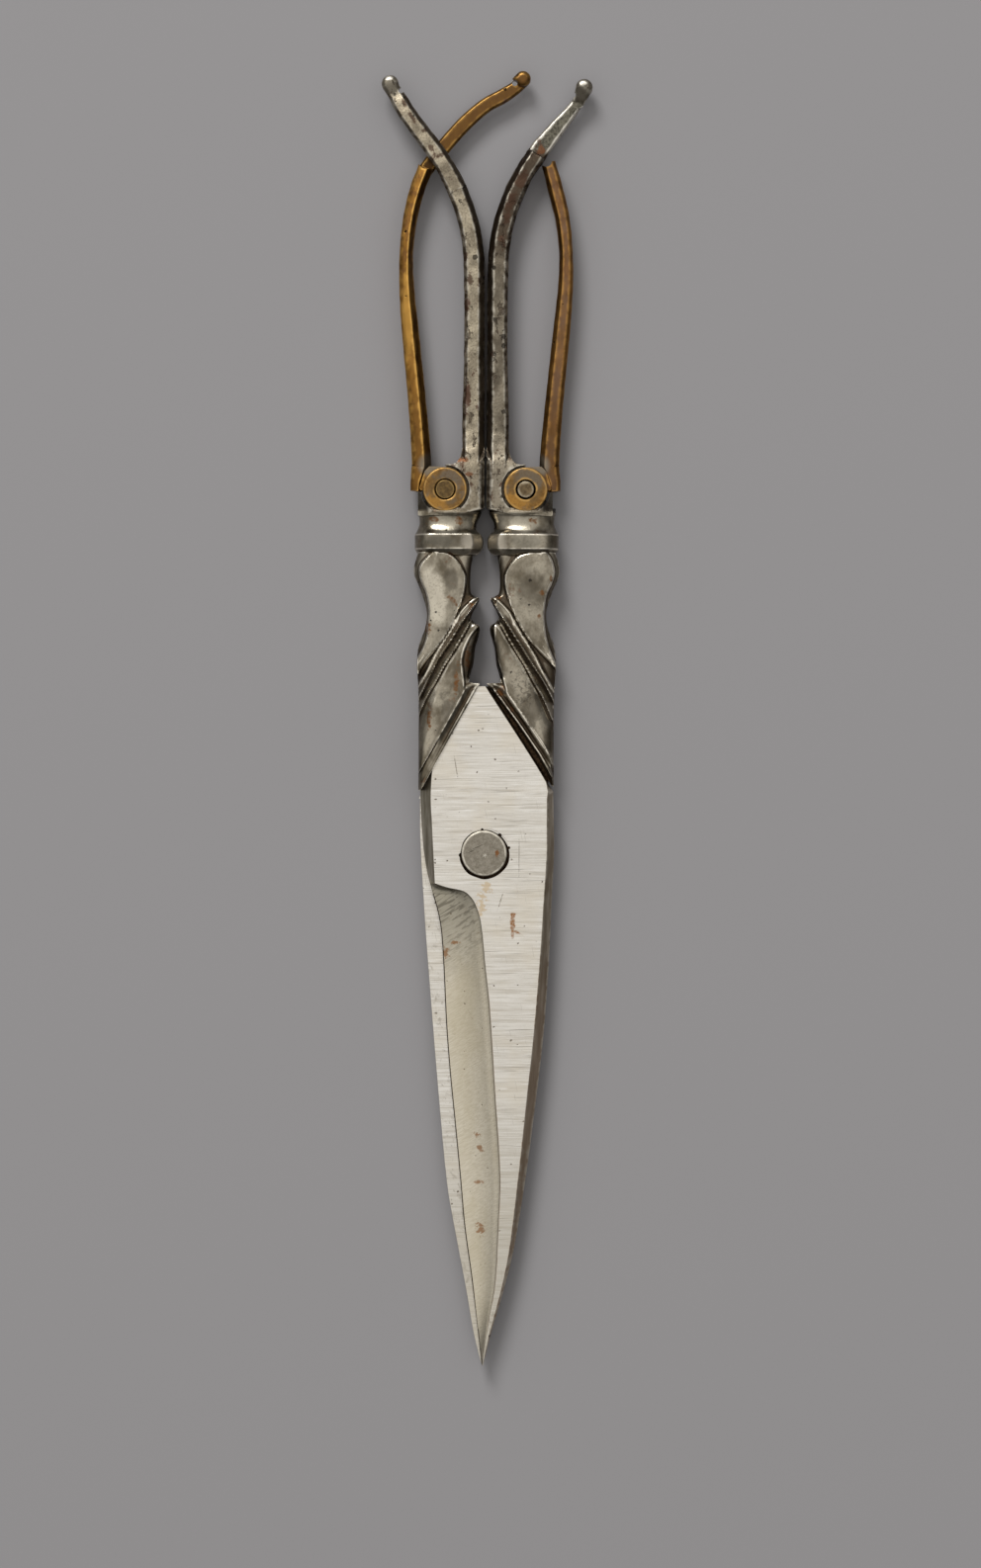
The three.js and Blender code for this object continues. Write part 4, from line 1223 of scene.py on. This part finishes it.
def carved_steel():
    """Carved shanks and collars: polished high parts, brown tarnish in the grooves, painted shade low
    down under the collar and in a few patches, painted highlights, rust and pits.
    """
    f = Finish("carved steel")
    broad = f.grain(3.2, (1, 1.5, 1), detail=4.0, roughness=0.6, seed=4)
    f.base((96, 88, 74), (158, 150, 134), f.step(broad, 0.34, 0.64))
    # Painted highlights: light patches on the left pear's lower side and on the outer facet of the left
    # leaf.
    f.lay((208, 200, 182), 0.66, f.stains(
        (-7.7, 38.6, 2.2, 5.2, 0.3, -0.15, 1), (-8.3, 26.0, 1.2, 4.0, 0.5, 0, 12)))
    # Dark patches: painted shade on the left pear's upper side, the right pear and the left collar band;
    # tarnish on the two leaves.
    f.lay((82, 76, 66), 0.62, f.stains(
        (-5.2, 41.6, 1.4, 2.2, 0.3, 0, 15), (6.9, 39.8, 2.6, 3.6, 0.4, 0, 16),
        (-5.0, 20.6, 1.6, 5.0, 0.6, -0.3, 20), (7.3, 22.0, 1.9, 6.5, 0.6, 0.3, 21),
        (-5.3, 47.2, 4.2, 1.2, 0.3, 0, 22)))
    speckle = f.grain(0.7, detail=4.0, roughness=0.8, seed=24, warp=0.6)
    f.lay((58, 53, 46), 0.6, f.stain(6.2, 25.5, 2.4, 6.0, 0.4, 0.3, 23), f.step(speckle, 0.5, 0.56))
    fine = f.grain(0.35, detail=4.0, roughness=0.65)
    f.lay((98, 88, 70), f.step(fine, 0.48, 0.72, 0.0, 0.4))
    uneven = f.grain(0.9, detail=4.0, seed=6)
    low = f.step(f.sum("MULTIPLY_ADD", uneven, 0.5, f.mark("groove")), 0.36, 0.8)
    # Brown in the grooves is tarnish. The same brown on faces that lie low under the collar, by height
    # alone, is painted shade.
    off_plane = f.sum("ABSOLUTE", f.sum("SUBTRACT", f.height, MIDDLE_PLANE))
    under_collar = f.step(f.up, SHANK_TOP - 0.3, SHANK_TOP - 1.0)
    low = f.most(low, f.product(f.step(off_plane, 2.3, 1.5), under_collar))
    f.lay((62, 49, 35), low, 0.84)
    # Painted highlights on the two necks.
    f.lay((196, 188, 170), 0.4, f.stains(
        (-6.0, 49.8, 2.6, 1.7, 0.4, 0, 13), (6.4, 49.9, 2.6, 1.7, 0.4, 0, 14)))
    bulges = f.stains((-1.5, 47.2, 2.4, 2.4, 0.2, 0, 34), (1.5, 47.2, 2.4, 2.4, 0.2, 0, 35))
    f.lay((172, 164, 150), bulges, 0.6)
    on_band = f.sum("COMPARE", f.up, SHANK_TOP + 1.6, 0.95)
    plain = f.most(on_band, f.sum("COMPARE", f.up, SHANK_TOP + 4.6, 1.6))
    f.lay((226, 218, 202), f.wear_and_edge_highlights(0.2, 0.6, 0.9), f.step(plain, 0.0, 1.0, 1.0, 0.1))
    # Painted shade: the middle of each collar band's front facet darkened.
    painted_band_shade = f.stains((-6.9, 47.2, 2.6, 1.2, 0.1), (6.2, 47.2, 3.0, 1.2, 0.1))
    f.lay((96, 94, 86), painted_band_shade, on_band, 0.35)
    f.lay((104, 68, 44), 0.5, f.step(f.grain(2.2, detail=5.0, roughness=0.7, seed=14), 0.6, 0.68))
    rust = f.stains(
        (-4.9, 38.3, 1.1, 0.45, 0.8, 0.8, 3), (10.0, 41.6, 0.3, 0.7, 0.4, 0, 5),
        (8.2, 35.9, 0.35, 0.4, 0.4, 0, 6), (8.6, 39.4, 0.4, 0.5, 0.6, 0, 7),
        (2.5, 24.6, 0.6, 1.0, 0.5, 0.5, 8), (-8.6, 34.2, 0.5, 1.1, 0.9, 0, 17),
        (-4.0, 50.4, 0.7, 0.8, 0.8, 0, 18), (-2.6, 29.6, 0.5, 2.2, 0.7, 0, 19),
        (-4.3, 26.0, 0.4, 2.8, 0.8, 0.1, 25), (-2.2, 37.6, 0.7, 0.4, 0.8, 0, 26),
        (-7.6, 50.6, 0.9, 0.5, 0.9, 0, 27), (-8.4, 20.4, 0.4, 1.8, 0.9, 0, 28),
        (7.4, 50.3, 0.8, 0.5, 0.9, 0, 29), (1.9, 38.9, 0.5, 0.9, 0.8, 0, 30))
    patchy = f.grain(0.45, detail=4.0, roughness=0.7, seed=33)
    f.lay((108, 72, 40), rust, f.step(patchy, 0.36, 0.6, 0.3, 0.95))
    pits = f.most(f.pits(1.4, 0.3, 11.0), f.stains(
        (-7.4, 36.45, 0.2, 0.2, 0.2), (-7.0, 33.7, 0.17, 0.17, 0.2), (-8.2, 35.2, 0.16, 0.16, 0.2)))
    f.lay(PIT, pits, 0.85)
    rough = f.step(f.sum("ADD", f.product(fine, 0.3), low), 0.0, 1.2, 0.22, 0.55)
    rough = f.sum("MULTIPLY_ADD", bulges, 0.16, rough)
    return f.close(rough, f.sum("MULTIPLY_ADD", fine, 0.012, f.product(pits, -0.05)))


def worn_arm():
    """Arms and hinge blocks: forged grey with small pits, sides darkened as painted shade, painted
    highlights and shadow, and rust patches.
    """
    f = Finish("worn forged steel")
    cloud = f.grain(2.6, (1, 1.8, 1), detail=5.0, roughness=0.6, seed=5)
    light = f.step(cloud, 0.36, 0.62)
    left_arm = f.mix(light, (128, 118, 101), (168, 157, 136))
    right_arm = f.mix(light, (94, 86, 74), (130, 121, 105))
    right_arm = f.mix(f.step(f.up, 64.0, 60.0, 0.0, 0.5), right_arm, (158, 148, 130))
    right_arm = f.mix(f.step(f.up, 86.0, 94.0, 0.0, 0.85), right_arm, (62, 50, 40))
    f.base(left_arm, right_arm, f.step(f.across, -0.4, 0.4))
    f.lay((86, 76, 62), f.step(f.up, 62.0, 59.0, 0.0, 0.3), f.step(f.across, -0.4, 0.4, 1.4, 0.2))
    fine = f.grain(0.3, detail=4.0, roughness=0.7)
    f.lay((78, 70, 58), f.step(fine, 0.42, 0.68, 0.0, 0.5))
    tips = f.stains((-14.6, 116.6, 2.3, 2.3, 0.03), (14.7, 116.0, 2.3, 2.3, 0.03))
    off_tips = f.sum("SUBTRACT", 1.0, tips)
    lap = f.product(f.step(f.across, 6.0, 7.0), f.step(f.up, 105.9, 107.3), off_tips)
    mottle = f.step(f.grain(0.4, detail=5.0, roughness=0.75, seed=44), 0.38, 0.64)
    f.lay(f.mix(mottle, (74, 72, 63), (122, 118, 104)), lap, 0.85)
    f.lay((120, 114, 102), tips, 0.7)
    # Painted shade: faces that don't face up, the arms' sides and chamfers, darkened to brown.
    f.lay((60, 49, 39), f.sum("SUBTRACT", 1.0, f.mark("level")), off_tips, 0.8)
    f.lay((188, 181, 166), f.wear_and_edge_highlights(0.25, 0.8, 0.7))
    # Painted highlights along the sharp edges of the right arm's lap.
    f.lay((204, 198, 186), f.step(f.mark("crest"), 0.2, 0.55), lap)
    # Painted highlights on top of the two knobs.
    f.lay((216, 210, 198), 0.8, f.stains(
        (-14.8, 117.5, 0.8, 0.55, 0.2, 0, 31), (14.6, 116.9, 0.8, 0.5, 0.2, 0, 32)))
    # Painted shadow: near black on the blocks' outer cheeks, under the feet of the bows.
    painted_cheek_shadow = f.product(f.step(f.sum("ABSOLUTE", f.across), 8.2, 8.9), f.step(f.up, 51.4, 52.2),
                       f.step(f.up, 55.5, 55.0))
    f.lay((34, 31, 27), painted_cheek_shadow, 0.92)
    dark = f.step(f.grain(1.5, (1, 1.6, 1), detail=5.0, roughness=0.75, seed=15, warp=0.4), 0.6, 0.64)
    f.lay((70, 58, 48), dark, 0.7)
    patches = f.grain(2.4, (1, 2.2, 1), detail=5.0, roughness=0.7, seed=25)
    f.lay(RUST, f.step(patches, 0.6, 0.66), 0.75)
    f.lay((110, 72, 48), 0.8, f.stains(
        (8.3, 106.8, 0.7, 0.8, 0.5, 0, 3), (-3.5, 59.6, 1.1, 0.5, 0.9, 0, 4),
        (-2.6, 57.3, 0.6, 0.4, 0.9, 0, 7)))
    brown = [(-12.5, 113.6, 0.4, 0.7), (-11.4, 111.6, 0.4, 1.2), (-9.5, 109.5, 0.5, 0.5),
             (-8.4, 106.9, 0.4, 0.9), (-7.0, 105.8, 0.8, 0.4), (-3.1, 90.4, 0.4, 0.8),
             (-2.5, 87.0, 0.5, 1.2), (5.3, 102.0, 0.9, 2.0), (3.8, 98.9, 0.8, 2.0),
             (3.1, 96.2, 0.6, 1.2), (2.4, 93.0, 0.6, 0.8)]
    f.lay((72, 53, 42), 0.8, f.stains(
        *((x, y, a, b, 0.7, math.copysign(0.5, x) if abs(x) > 3.5 else 0.0, y) for x, y, a, b in brown)))
    f.lay((72, 46, 36), 0.85, f.stains(
        (-2.9, 83.0, 0.5, 1.5, 0.8, 0, 5), (-2.8, 69.0, 0.6, 2.6, 0.9, 0, 6)))
    pits = f.most(f.pits(1.5, 0.4, 21.0, 0.3), f.pits(0.7, 0.25, 23.0))
    f.lay(PIT, pits, 0.8)
    sunk = f.product(f.most(pits, dark), -0.06)
    return f.close(f.sum("MULTIPLY_ADD", cloud, 0.25, 0.28), f.sum("MULTIPLY_ADD", fine, 0.04, sunk))


def bow_brass(name, bright, deep, face, edge_wear_and_highlight, seed):
    """Bows: brass with brown tarnish, a face of its own tone, bright edges that are partly worn and
    partly painted highlight, with a painted highlight stripe and a painted shadow on the left bow.
    """
    f = Finish(name)
    smear = f.grain(0.7, (1, 6, 1), detail=4.0, roughness=0.6, seed=seed)
    f.base(deep, bright, f.step(smear, 0.35, 0.68))
    cloud = f.grain(2.2, (1, 2.4, 1), detail=5.0, roughness=0.65, seed=seed + 4)
    f.lay(face, f.mark("level"), f.step(cloud, 0.3, 0.6, 0.35, 1.0))
    stained = f.grain(1.6, (1, 1.8, 1), detail=5.0, roughness=0.7, seed=seed + 9)
    f.lay((84, 58, 34), f.step(stained, 0.56, 0.68), 0.6)
    bronze = f.grain(0.9, (1, 2, 1), detail=5.0, roughness=0.7, seed=seed + 13)
    f.lay((108, 76, 48), f.step(bronze, 0.42, 0.6), f.step(f.up, 82.0, 92.0, 0.15, 0.75))
    # Painted highlight: a bright stripe down the outer face of the left bow.
    f.lay((196, 150, 74), 0.55, f.stain(-11.9, 82.0, 1.0, 9.0, 0.25, 0, 7))
    f.lay((90, 65, 38), f.step(f.up, 103.0, 106.5, 0.0, 0.8))
    f.lay((84, 58, 30), f.step(f.up, 78.0, 62.0, 0.0, 0.5))
    # Painted shadow where the left bow's tongue passes under the steel arm.
    f.lay((52, 37, 22), 0.85, f.stain(-8.5, 104.9, 1.5, 1.7, 0.1))
    f.lay((88, 66, 70), 0.6, f.stains(
        (-0.2, 109.8, 1.3, 0.6, 0.8, -0.75, 5), (3.0, 114.3, 1.5, 0.4, 0.8, -0.5, 6)))
    f.lay(edge_wear_and_highlight, f.wear_and_edge_highlights(0.15, 0.7, 0.8), f.step(f.up, 103.0, 106.5, 1.0, 0.5))
    f.lay((124, 117, 104), 0.8, f.stains((-8.0, 58.8, 2.7, 2.4, 0.05), (7.8, 58.8, 2.4, 2.2, 0.05)))
    f.lay((66, 44, 22), f.step(f.mark("groove"), 0.25, 0.7, 0.0, 0.7))
    pits = f.pits(1.5, 0.2, seed)
    f.lay((48, 34, 20), pits)
    height = f.sum("MULTIPLY_ADD", smear, 0.03, f.product(pits, -0.05))
    return f.close(f.sum("MULTIPLY_ADD", smear, 0.22, 0.26), height)


def washer_brass():
    """Washers: brass, grey-brown near the middle, bright on the rim."""
    f = Finish("washer brass")
    x, y = HINGE_OUT, HINGE_Y
    mottle = f.grain(0.6, detail=4.0, roughness=0.65)
    f.base((106, 77, 40), (144, 107, 58), f.step(mottle, 0.35, 0.68))
    f.lay((106, 86, 58), 0.7, f.stains((-x, y, 3.3, 3.3, 0.25, 0, 3), (x, y, 3.3, 3.3, 0.25, 0, 4)))
    f.lay((172, 126, 60), 0.6, f.stains(
        (-x - 1.2, y - 2.4, 2.4, 1.5, 0.4, 0.5, 5), (x - 1.2, y - 2.2, 2.4, 1.5, 0.4, 0.5, 6)))
    grey = f.stains((-x + 1.0, y + 1.3, 2.5, 2.1, 0.6, 0, 8), (x + 0.4, y + 1.6, 2.5, 1.9, 0.6, 0, 9))
    dull = f.step(f.grain(1.8, detail=4.0, seed=6), 0.5, 0.64, 0.0, 0.75)
    f.lay((106, 97, 84), f.most(grey, dull), 0.8)
    f.lay((92, 66, 38), f.step(f.grain(0.28, roughness=0.7, seed=12), 0.5, 0.68, 0.0, 0.5))
    f.lay((192, 152, 90), f.wear_and_edge_highlights(0.2, 0.7, 0.7))
    return f.close(f.sum("MULTIPLY_ADD", mottle, 0.2, 0.3), f.product(mottle, 0.03))


def pin_metal(name, dark, light, edge):
    """Pins and rivet: dull metal with fine specks, scratches and a punched centre."""
    f = Finish(name)
    mottle = f.grain(0.5, detail=5.0, roughness=0.7)
    f.base(dark, light, f.step(mottle, 0.36, 0.66))
    fine = f.grain(0.16, roughness=0.8)
    f.lay((84, 78, 66), f.step(fine, 0.5, 0.75, 0.0, 0.6))
    f.lay(edge, f.wear_and_edge_highlights(0.2, 0.7, 0.85))
    f.lay((52, 46, 40), 0.8, f.stains(
        (-1.0, 0.95, 1.3, 0.06, 0.5, -0.42, 1), (-1.9, 0.3, 0.8, 0.07, 0.5, -0.42, 2)))
    f.lay((212, 206, 192), 0.6, f.stains(
        *((0.1, -0.3, 0.5, 0.07, 0.4, turn, 3) for turn in (0.3, 1.4, 2.5))))
    f.lay((122, 78, 40), 0.85, f.stain(1.95, 0.05, 0.36, 0.65, 0.5, 0, 2))
    return f.close(f.sum("MULTIPLY_ADD", mottle, 0.2, 0.36), f.product(fine, 0.03))


# Finishing the pieces

RELIEF_STEPS = 7
RELIEF_DEPTH = 0.07
CREST_GAIN = 7
LEVEL_FACING = (0.9, 0.985)
FLAT_FACING = 0.985
COLLAR_END = 6.05
SHORTEST_EDGE = 0.06
LONGEST_EDGE = 0.75
SHARP_ANGLE = math.radians(50)

# Finish of each zone of a steel half, in the order of the zones
FLAT, HOLLOW, BEVEL, CARVING, FORGING, GAP = range(6)
STEEL_FINISHES = (brushed_flat, hollow_ground, blade_sides, carved_steel, worn_arm, painted_gap_shade)


def mark_relief(mesh):
    """Marks how far each point stands out from, or lies below, the mesh around it."""
    count = len(mesh.vertices)
    co = table(mesh.vertices, "co")
    normal = table(mesh.vertex_normals, "vector")
    a, b = table(mesh.edges, "vertices", 2, int).T
    weight = 1 / np.maximum(np.linalg.norm(co[a] - co[b], axis=1), SHORTEST_EDGE)
    ends = np.concatenate([a, b])
    others = np.concatenate([b, a])
    pull = np.concatenate([weight, weight])
    total = np.bincount(ends, pull, count)

    def around(values):
        """Each point's values averaged from its neighbours, the nearer the more."""
        sums = [np.bincount(ends, pull * v[others], count) for v in values.T]
        return np.stack(sums, 1) / total[:, None]

    def rise_over(soft):
        """How far each point stands out from a smoother surface."""
        return ((co - soft) * normal).sum(1)

    near = around(co)
    reach = np.bincount(ends, minlength=count) / total
    sharp = np.clip(rise_over(near) / reach * CREST_GAIN, -1, 1)
    sharp = np.maximum(sharp, around(sharp[:, None])[:, 0])
    sharp = 0.45 * sharp + 0.6 * around(sharp[:, None])[:, 0]
    soft = near
    for _ in range(RELIEF_STEPS):
        soft = around(soft)
    low = np.clip(-rise_over(soft) / RELIEF_DEPTH, 0, 1)
    level = ease(np.abs(normal[:, 2]), *LEVEL_FACING)
    for name, values in (("crest", sharp), ("groove", np.maximum(low, -sharp * 0.5)), ("level", level)):
        layer = mesh.attributes.new(name, "FLOAT", "POINT")
        layer.data.foreach_set("value", np.clip(values, 0, 1).astype(np.float32))


def paint_faces(mesh, half):
    """Gives each face of a steel half the finish of its zone."""
    x, y, z = table(mesh.polygons, "center").T
    up = table(mesh.polygons, "normal")[:, 2]
    is_blade = y < np.where(-x > vee_edge(half, y) - 0.05, VEE[half]["foot_y"] + CLEARANCE, 99)
    is_blade &= y < VEE_TOP
    ground = (y < -GRIND_TOP * BLADE_LENGTH) & (x < along(GRIND_RIDGE)(y) - 0.02)
    zone = np.full(len(x), FORGING)
    zone[y < SHANK_TOP + COLLAR_END] = CARVING
    zone[is_blade] = BEVEL
    zone[is_blade & (np.abs(up) > FLAT_FACING)] = FLAT
    zone[is_blade & ground & (up > 0.5)] = HOLLOW
    zone[is_blade & ~ground & (up > 0.5) & (up < FLAT_FACING)] = BEVEL
    at_edge = (y < -HEEL * BLADE_LENGTH) & (x < along(CUTTING_EDGE)(y) + 0.1)
    in_recess = (np.hypot(x, y) < RIVET_HEAD + 0.8) & (z > BLADE_FLOOR + 0.3) & (z < BLADE_TOP - 0.3)
    gap = past_vee(half, -x, y)
    in_slot = (half == "rear") & (zone == CARVING) & (y < VEE_TOP) & (gap < slot_width(y) - 0.1)
    between = (np.abs(z) < 0.4) & (y > VEE[half]["foot_y"] - 1)
    between &= (y < VEE_TOP) & (np.abs(gap) < 0.5)
    # Painted shade: these faces take the dark gap finish, along the cutting edge, on the rivet recess's
    # wall, in the rear half's slot and between the halves along the V.
    zone[at_edge | in_recess | in_slot | between] = GAP
    mesh.polygons.foreach_set("material_index", zone.astype(np.int32))


def complete(made, name, body, nodes, materials, turned_over=False, half=None):
    """Shades a drawn piece, brings it to its place in metres and hands it to its body."""
    mesh = made.data
    with opened(mesh) as form:
        bmesh.ops.remove_doubles(form, verts=form.verts, dist=0.0005)
        bmesh.ops.dissolve_degenerate(form, edges=form.edges, dist=0.0003)
    refine(mesh, LONGEST_EDGE)
    mark_relief(mesh)
    mesh.materials.clear()
    for material in materials:
        mesh.materials.append(material)
    if half:
        paint_faces(mesh, half)
    mesh.shade_smooth()
    mesh.set_sharp_from_angle(angle=SHARP_ANGLE)
    modifier = made.modifiers.new("even shading", "WEIGHTED_NORMAL")
    modifier.keep_sharp = True
    settle(made)
    turn = Matrix.Rotation(math.pi if turned_over else 0, 4, "Y")
    lift = Matrix.Translation((0, 0, MIDDLE_PLANE * MILLIMETRE))
    made.data.transform(lift @ turn @ Matrix.Scale(MILLIMETRE, 4))
    made.name = name
    made.data.name = name
    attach(made, body)
    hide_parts(*nodes)
    return made


steel = [finish() for finish in STEEL_FINISHES]
golden = bow_brass("golden bow brass", (160, 114, 50), (106, 72, 30), (146, 105, 50),
                   (204, 158, 84), 3.0)
purple = bow_brass("browned bow brass", (150, 106, 52), (102, 72, 36), (108, 84, 66),
                   (166, 124, 68), 17.0)
ring_brass = washer_brass()
rivet_steel = pin_metal("dull rivet steel", (126, 119, 106), (150, 143, 130), (218, 211, 196))
pin_steel = pin_metal("dull pin steel", (84, 70, 52), (124, 106, 78), (168, 156, 134))
pin_brass = pin_metal("dull pin brass", (80, 64, 42), (114, 92, 58), (150, 124, 78))

for half, side, body, bow_body, bow_finish, pin_finish in (
        ("front", "left", "front_half", "left_bow", golden, pin_brass),
        ("rear", "right", "rear_half", "right_bow", purple, pin_steel)):
    turned_over = half == "rear"
    complete(steel_half(half), f"{side}_handled_steel_half", body, [f"{half}_steel_half"],
             steel, turned_over, half)
    complete(bow(half), f"{side}_bow", bow_body, [f"{side}_brass_bow"], [bow_finish],
             turned_over)
    pin = turned("pin", -HINGE_OUT, HINGE_Y, PIN_RADIUS[half], 0.0, -WASHER_TOP, WASHER_TOP, 0.12,
                 pin_finish)
    complete(pin, f"{side}_pin", body, [f"{side}_hinge_pin"], [pin_finish], turned_over)
    for place, face in (("front", 1), ("back", -1)):
        low, high = span(-face if turned_over else face, WASHER_FLOOR, WASHER_TOP)
        ring = turned("ring", -HINGE_OUT, HINGE_Y, RING_RADIUS, PIN_HOLE, low, high, 0.2, ring_brass)
        complete(ring, f"{side}_{place}_ring", body, [f"{side}_{place}_washer"],
                 [ring_brass], turned_over)

rivet = turned("rivet", 0, 0, RIVET_HEAD, 0.0, BLADE_TOP - RIVET_RECESS + CLEARANCE, RIVET_TOP, 0.2,
               rivet_steel)
combine(rivet, [
    turned("shank", 0, 0, RIVET_SHANK, 0.0, -BLADE_TOP - 0.4, BLADE_TOP, 0.05, rivet_steel),
    turned("head", 0, 0, RIVET_BACK_HEAD, 0.0, -MIDDLE_PLANE, -BLADE_TOP - CLEARANCE, 0.25,
           rivet_steel)])
complete(rivet, "pivot_rivet", "rear_half", ["main_rivet"], [rivet_steel])


# Floor, light and camera

FLOOR_REACH = 3.0
LENS = 120.0
SHOWN_HEIGHT = 0.2379
CAMERA_X, CAMERA_Y = 0.00093, 0.0105
ASKEW = math.atan2(3.7, 1081)

# Room light by height above the horizon, and how it leans to the finger loops and the left
SKY = [(0.0, 0.14), (0.35, 0.24), (0.6, 0.42), (0.8, 0.7), (0.93, 0.95), (1.0, 1.0)]
SKY_LEAN = (-0.18, 0.35, 0.0)
SKY_LEVEL = 1.0
SKY_TINT = (1.0, 0.99, 0.975)


def floor_sheet():
    """Plain paper under the scissors."""
    size = FLOOR_REACH
    sheet = shell("floor", [(-size, -size, 0), (size, -size, 0), (size, size, 0), (-size, size, 0)],
                  [[0, 1, 2, 3]])
    material = bpy.data.materials.new("plain grey paper")
    material.use_nodes = True
    shader = material.node_tree.nodes["Principled BSDF"]
    shader.inputs["Base Color"].default_value = paint(149, 147, 148)
    shader.inputs["Roughness"].default_value = 0.9
    shader.inputs["Specular IOR Level"].default_value = 0.1
    sheet.data.materials.append(material)
    sheet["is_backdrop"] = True


def lamp(name, place, size, power, aim):
    """Round lamp turned to a point."""
    light = bpy.data.lights.new(name, "AREA")
    light.shape = "DISK"
    light.size = size
    light.energy = power
    made = put_in(name, light)
    made.location = place
    made.rotation_mode = "QUATERNION"
    made.rotation_quaternion = (made.location - Vector(aim)).to_track_quat("Z", "Y")


def sky():
    """Soft room light, brightest overhead."""
    world = bpy.data.worlds.new("studio")
    scene.world = world
    world.use_nodes = True
    tree = world.node_tree
    place = add_node(tree, "ShaderNodeTexCoord").outputs["Generated"]
    height = add_node(tree, "ShaderNodeSeparateXYZ", {0: place}).outputs["Z"]
    ramp = add_node(tree, "ShaderNodeValToRGB", {0: height})
    stops = ramp.color_ramp.elements
    while len(stops) < len(SKY):
        stops.new(0.5)
    for stop, (position, level) in zip(stops, SKY):
        stop.position = position
        stop.color = tuple(level * tint for tint in SKY_TINT) + (1.0,)
    lean = add_node(tree, "ShaderNodeVectorMath", {0: place, 1: SKY_LEAN}, operation="DOT_PRODUCT")
    strength = add_node(tree, "ShaderNodeMath", {0: lean.outputs["Value"], 1: 1.0, 2: SKY_LEVEL},
                        operation="MULTIPLY_ADD")
    background = tree.nodes["Background"]
    feed(tree, background.inputs["Color"], ramp.outputs["Color"])
    feed(tree, background.inputs["Strength"], strength.outputs[0])


def camera():
    """Camera straight above, turned by the little that the scissors lie askew."""
    lens = bpy.data.cameras.new("camera")
    lens.lens = LENS
    lens.clip_start = 0.05
    lens.clip_end = 20.0
    made = put_in("camera", lens)
    made.location = (CAMERA_X, CAMERA_Y, SHOWN_HEIGHT * LENS / lens.sensor_width + 0.004)
    made.rotation_euler = (0, 0, ASKEW)
    scene.camera = made


floor_sheet()
sky()
lamp("top light", (-0.5, 1.4, 1.32), 0.8, 22.0, (0, 0.01, 0))
camera()
scene.view_settings.view_transform = "Standard"

low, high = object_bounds()
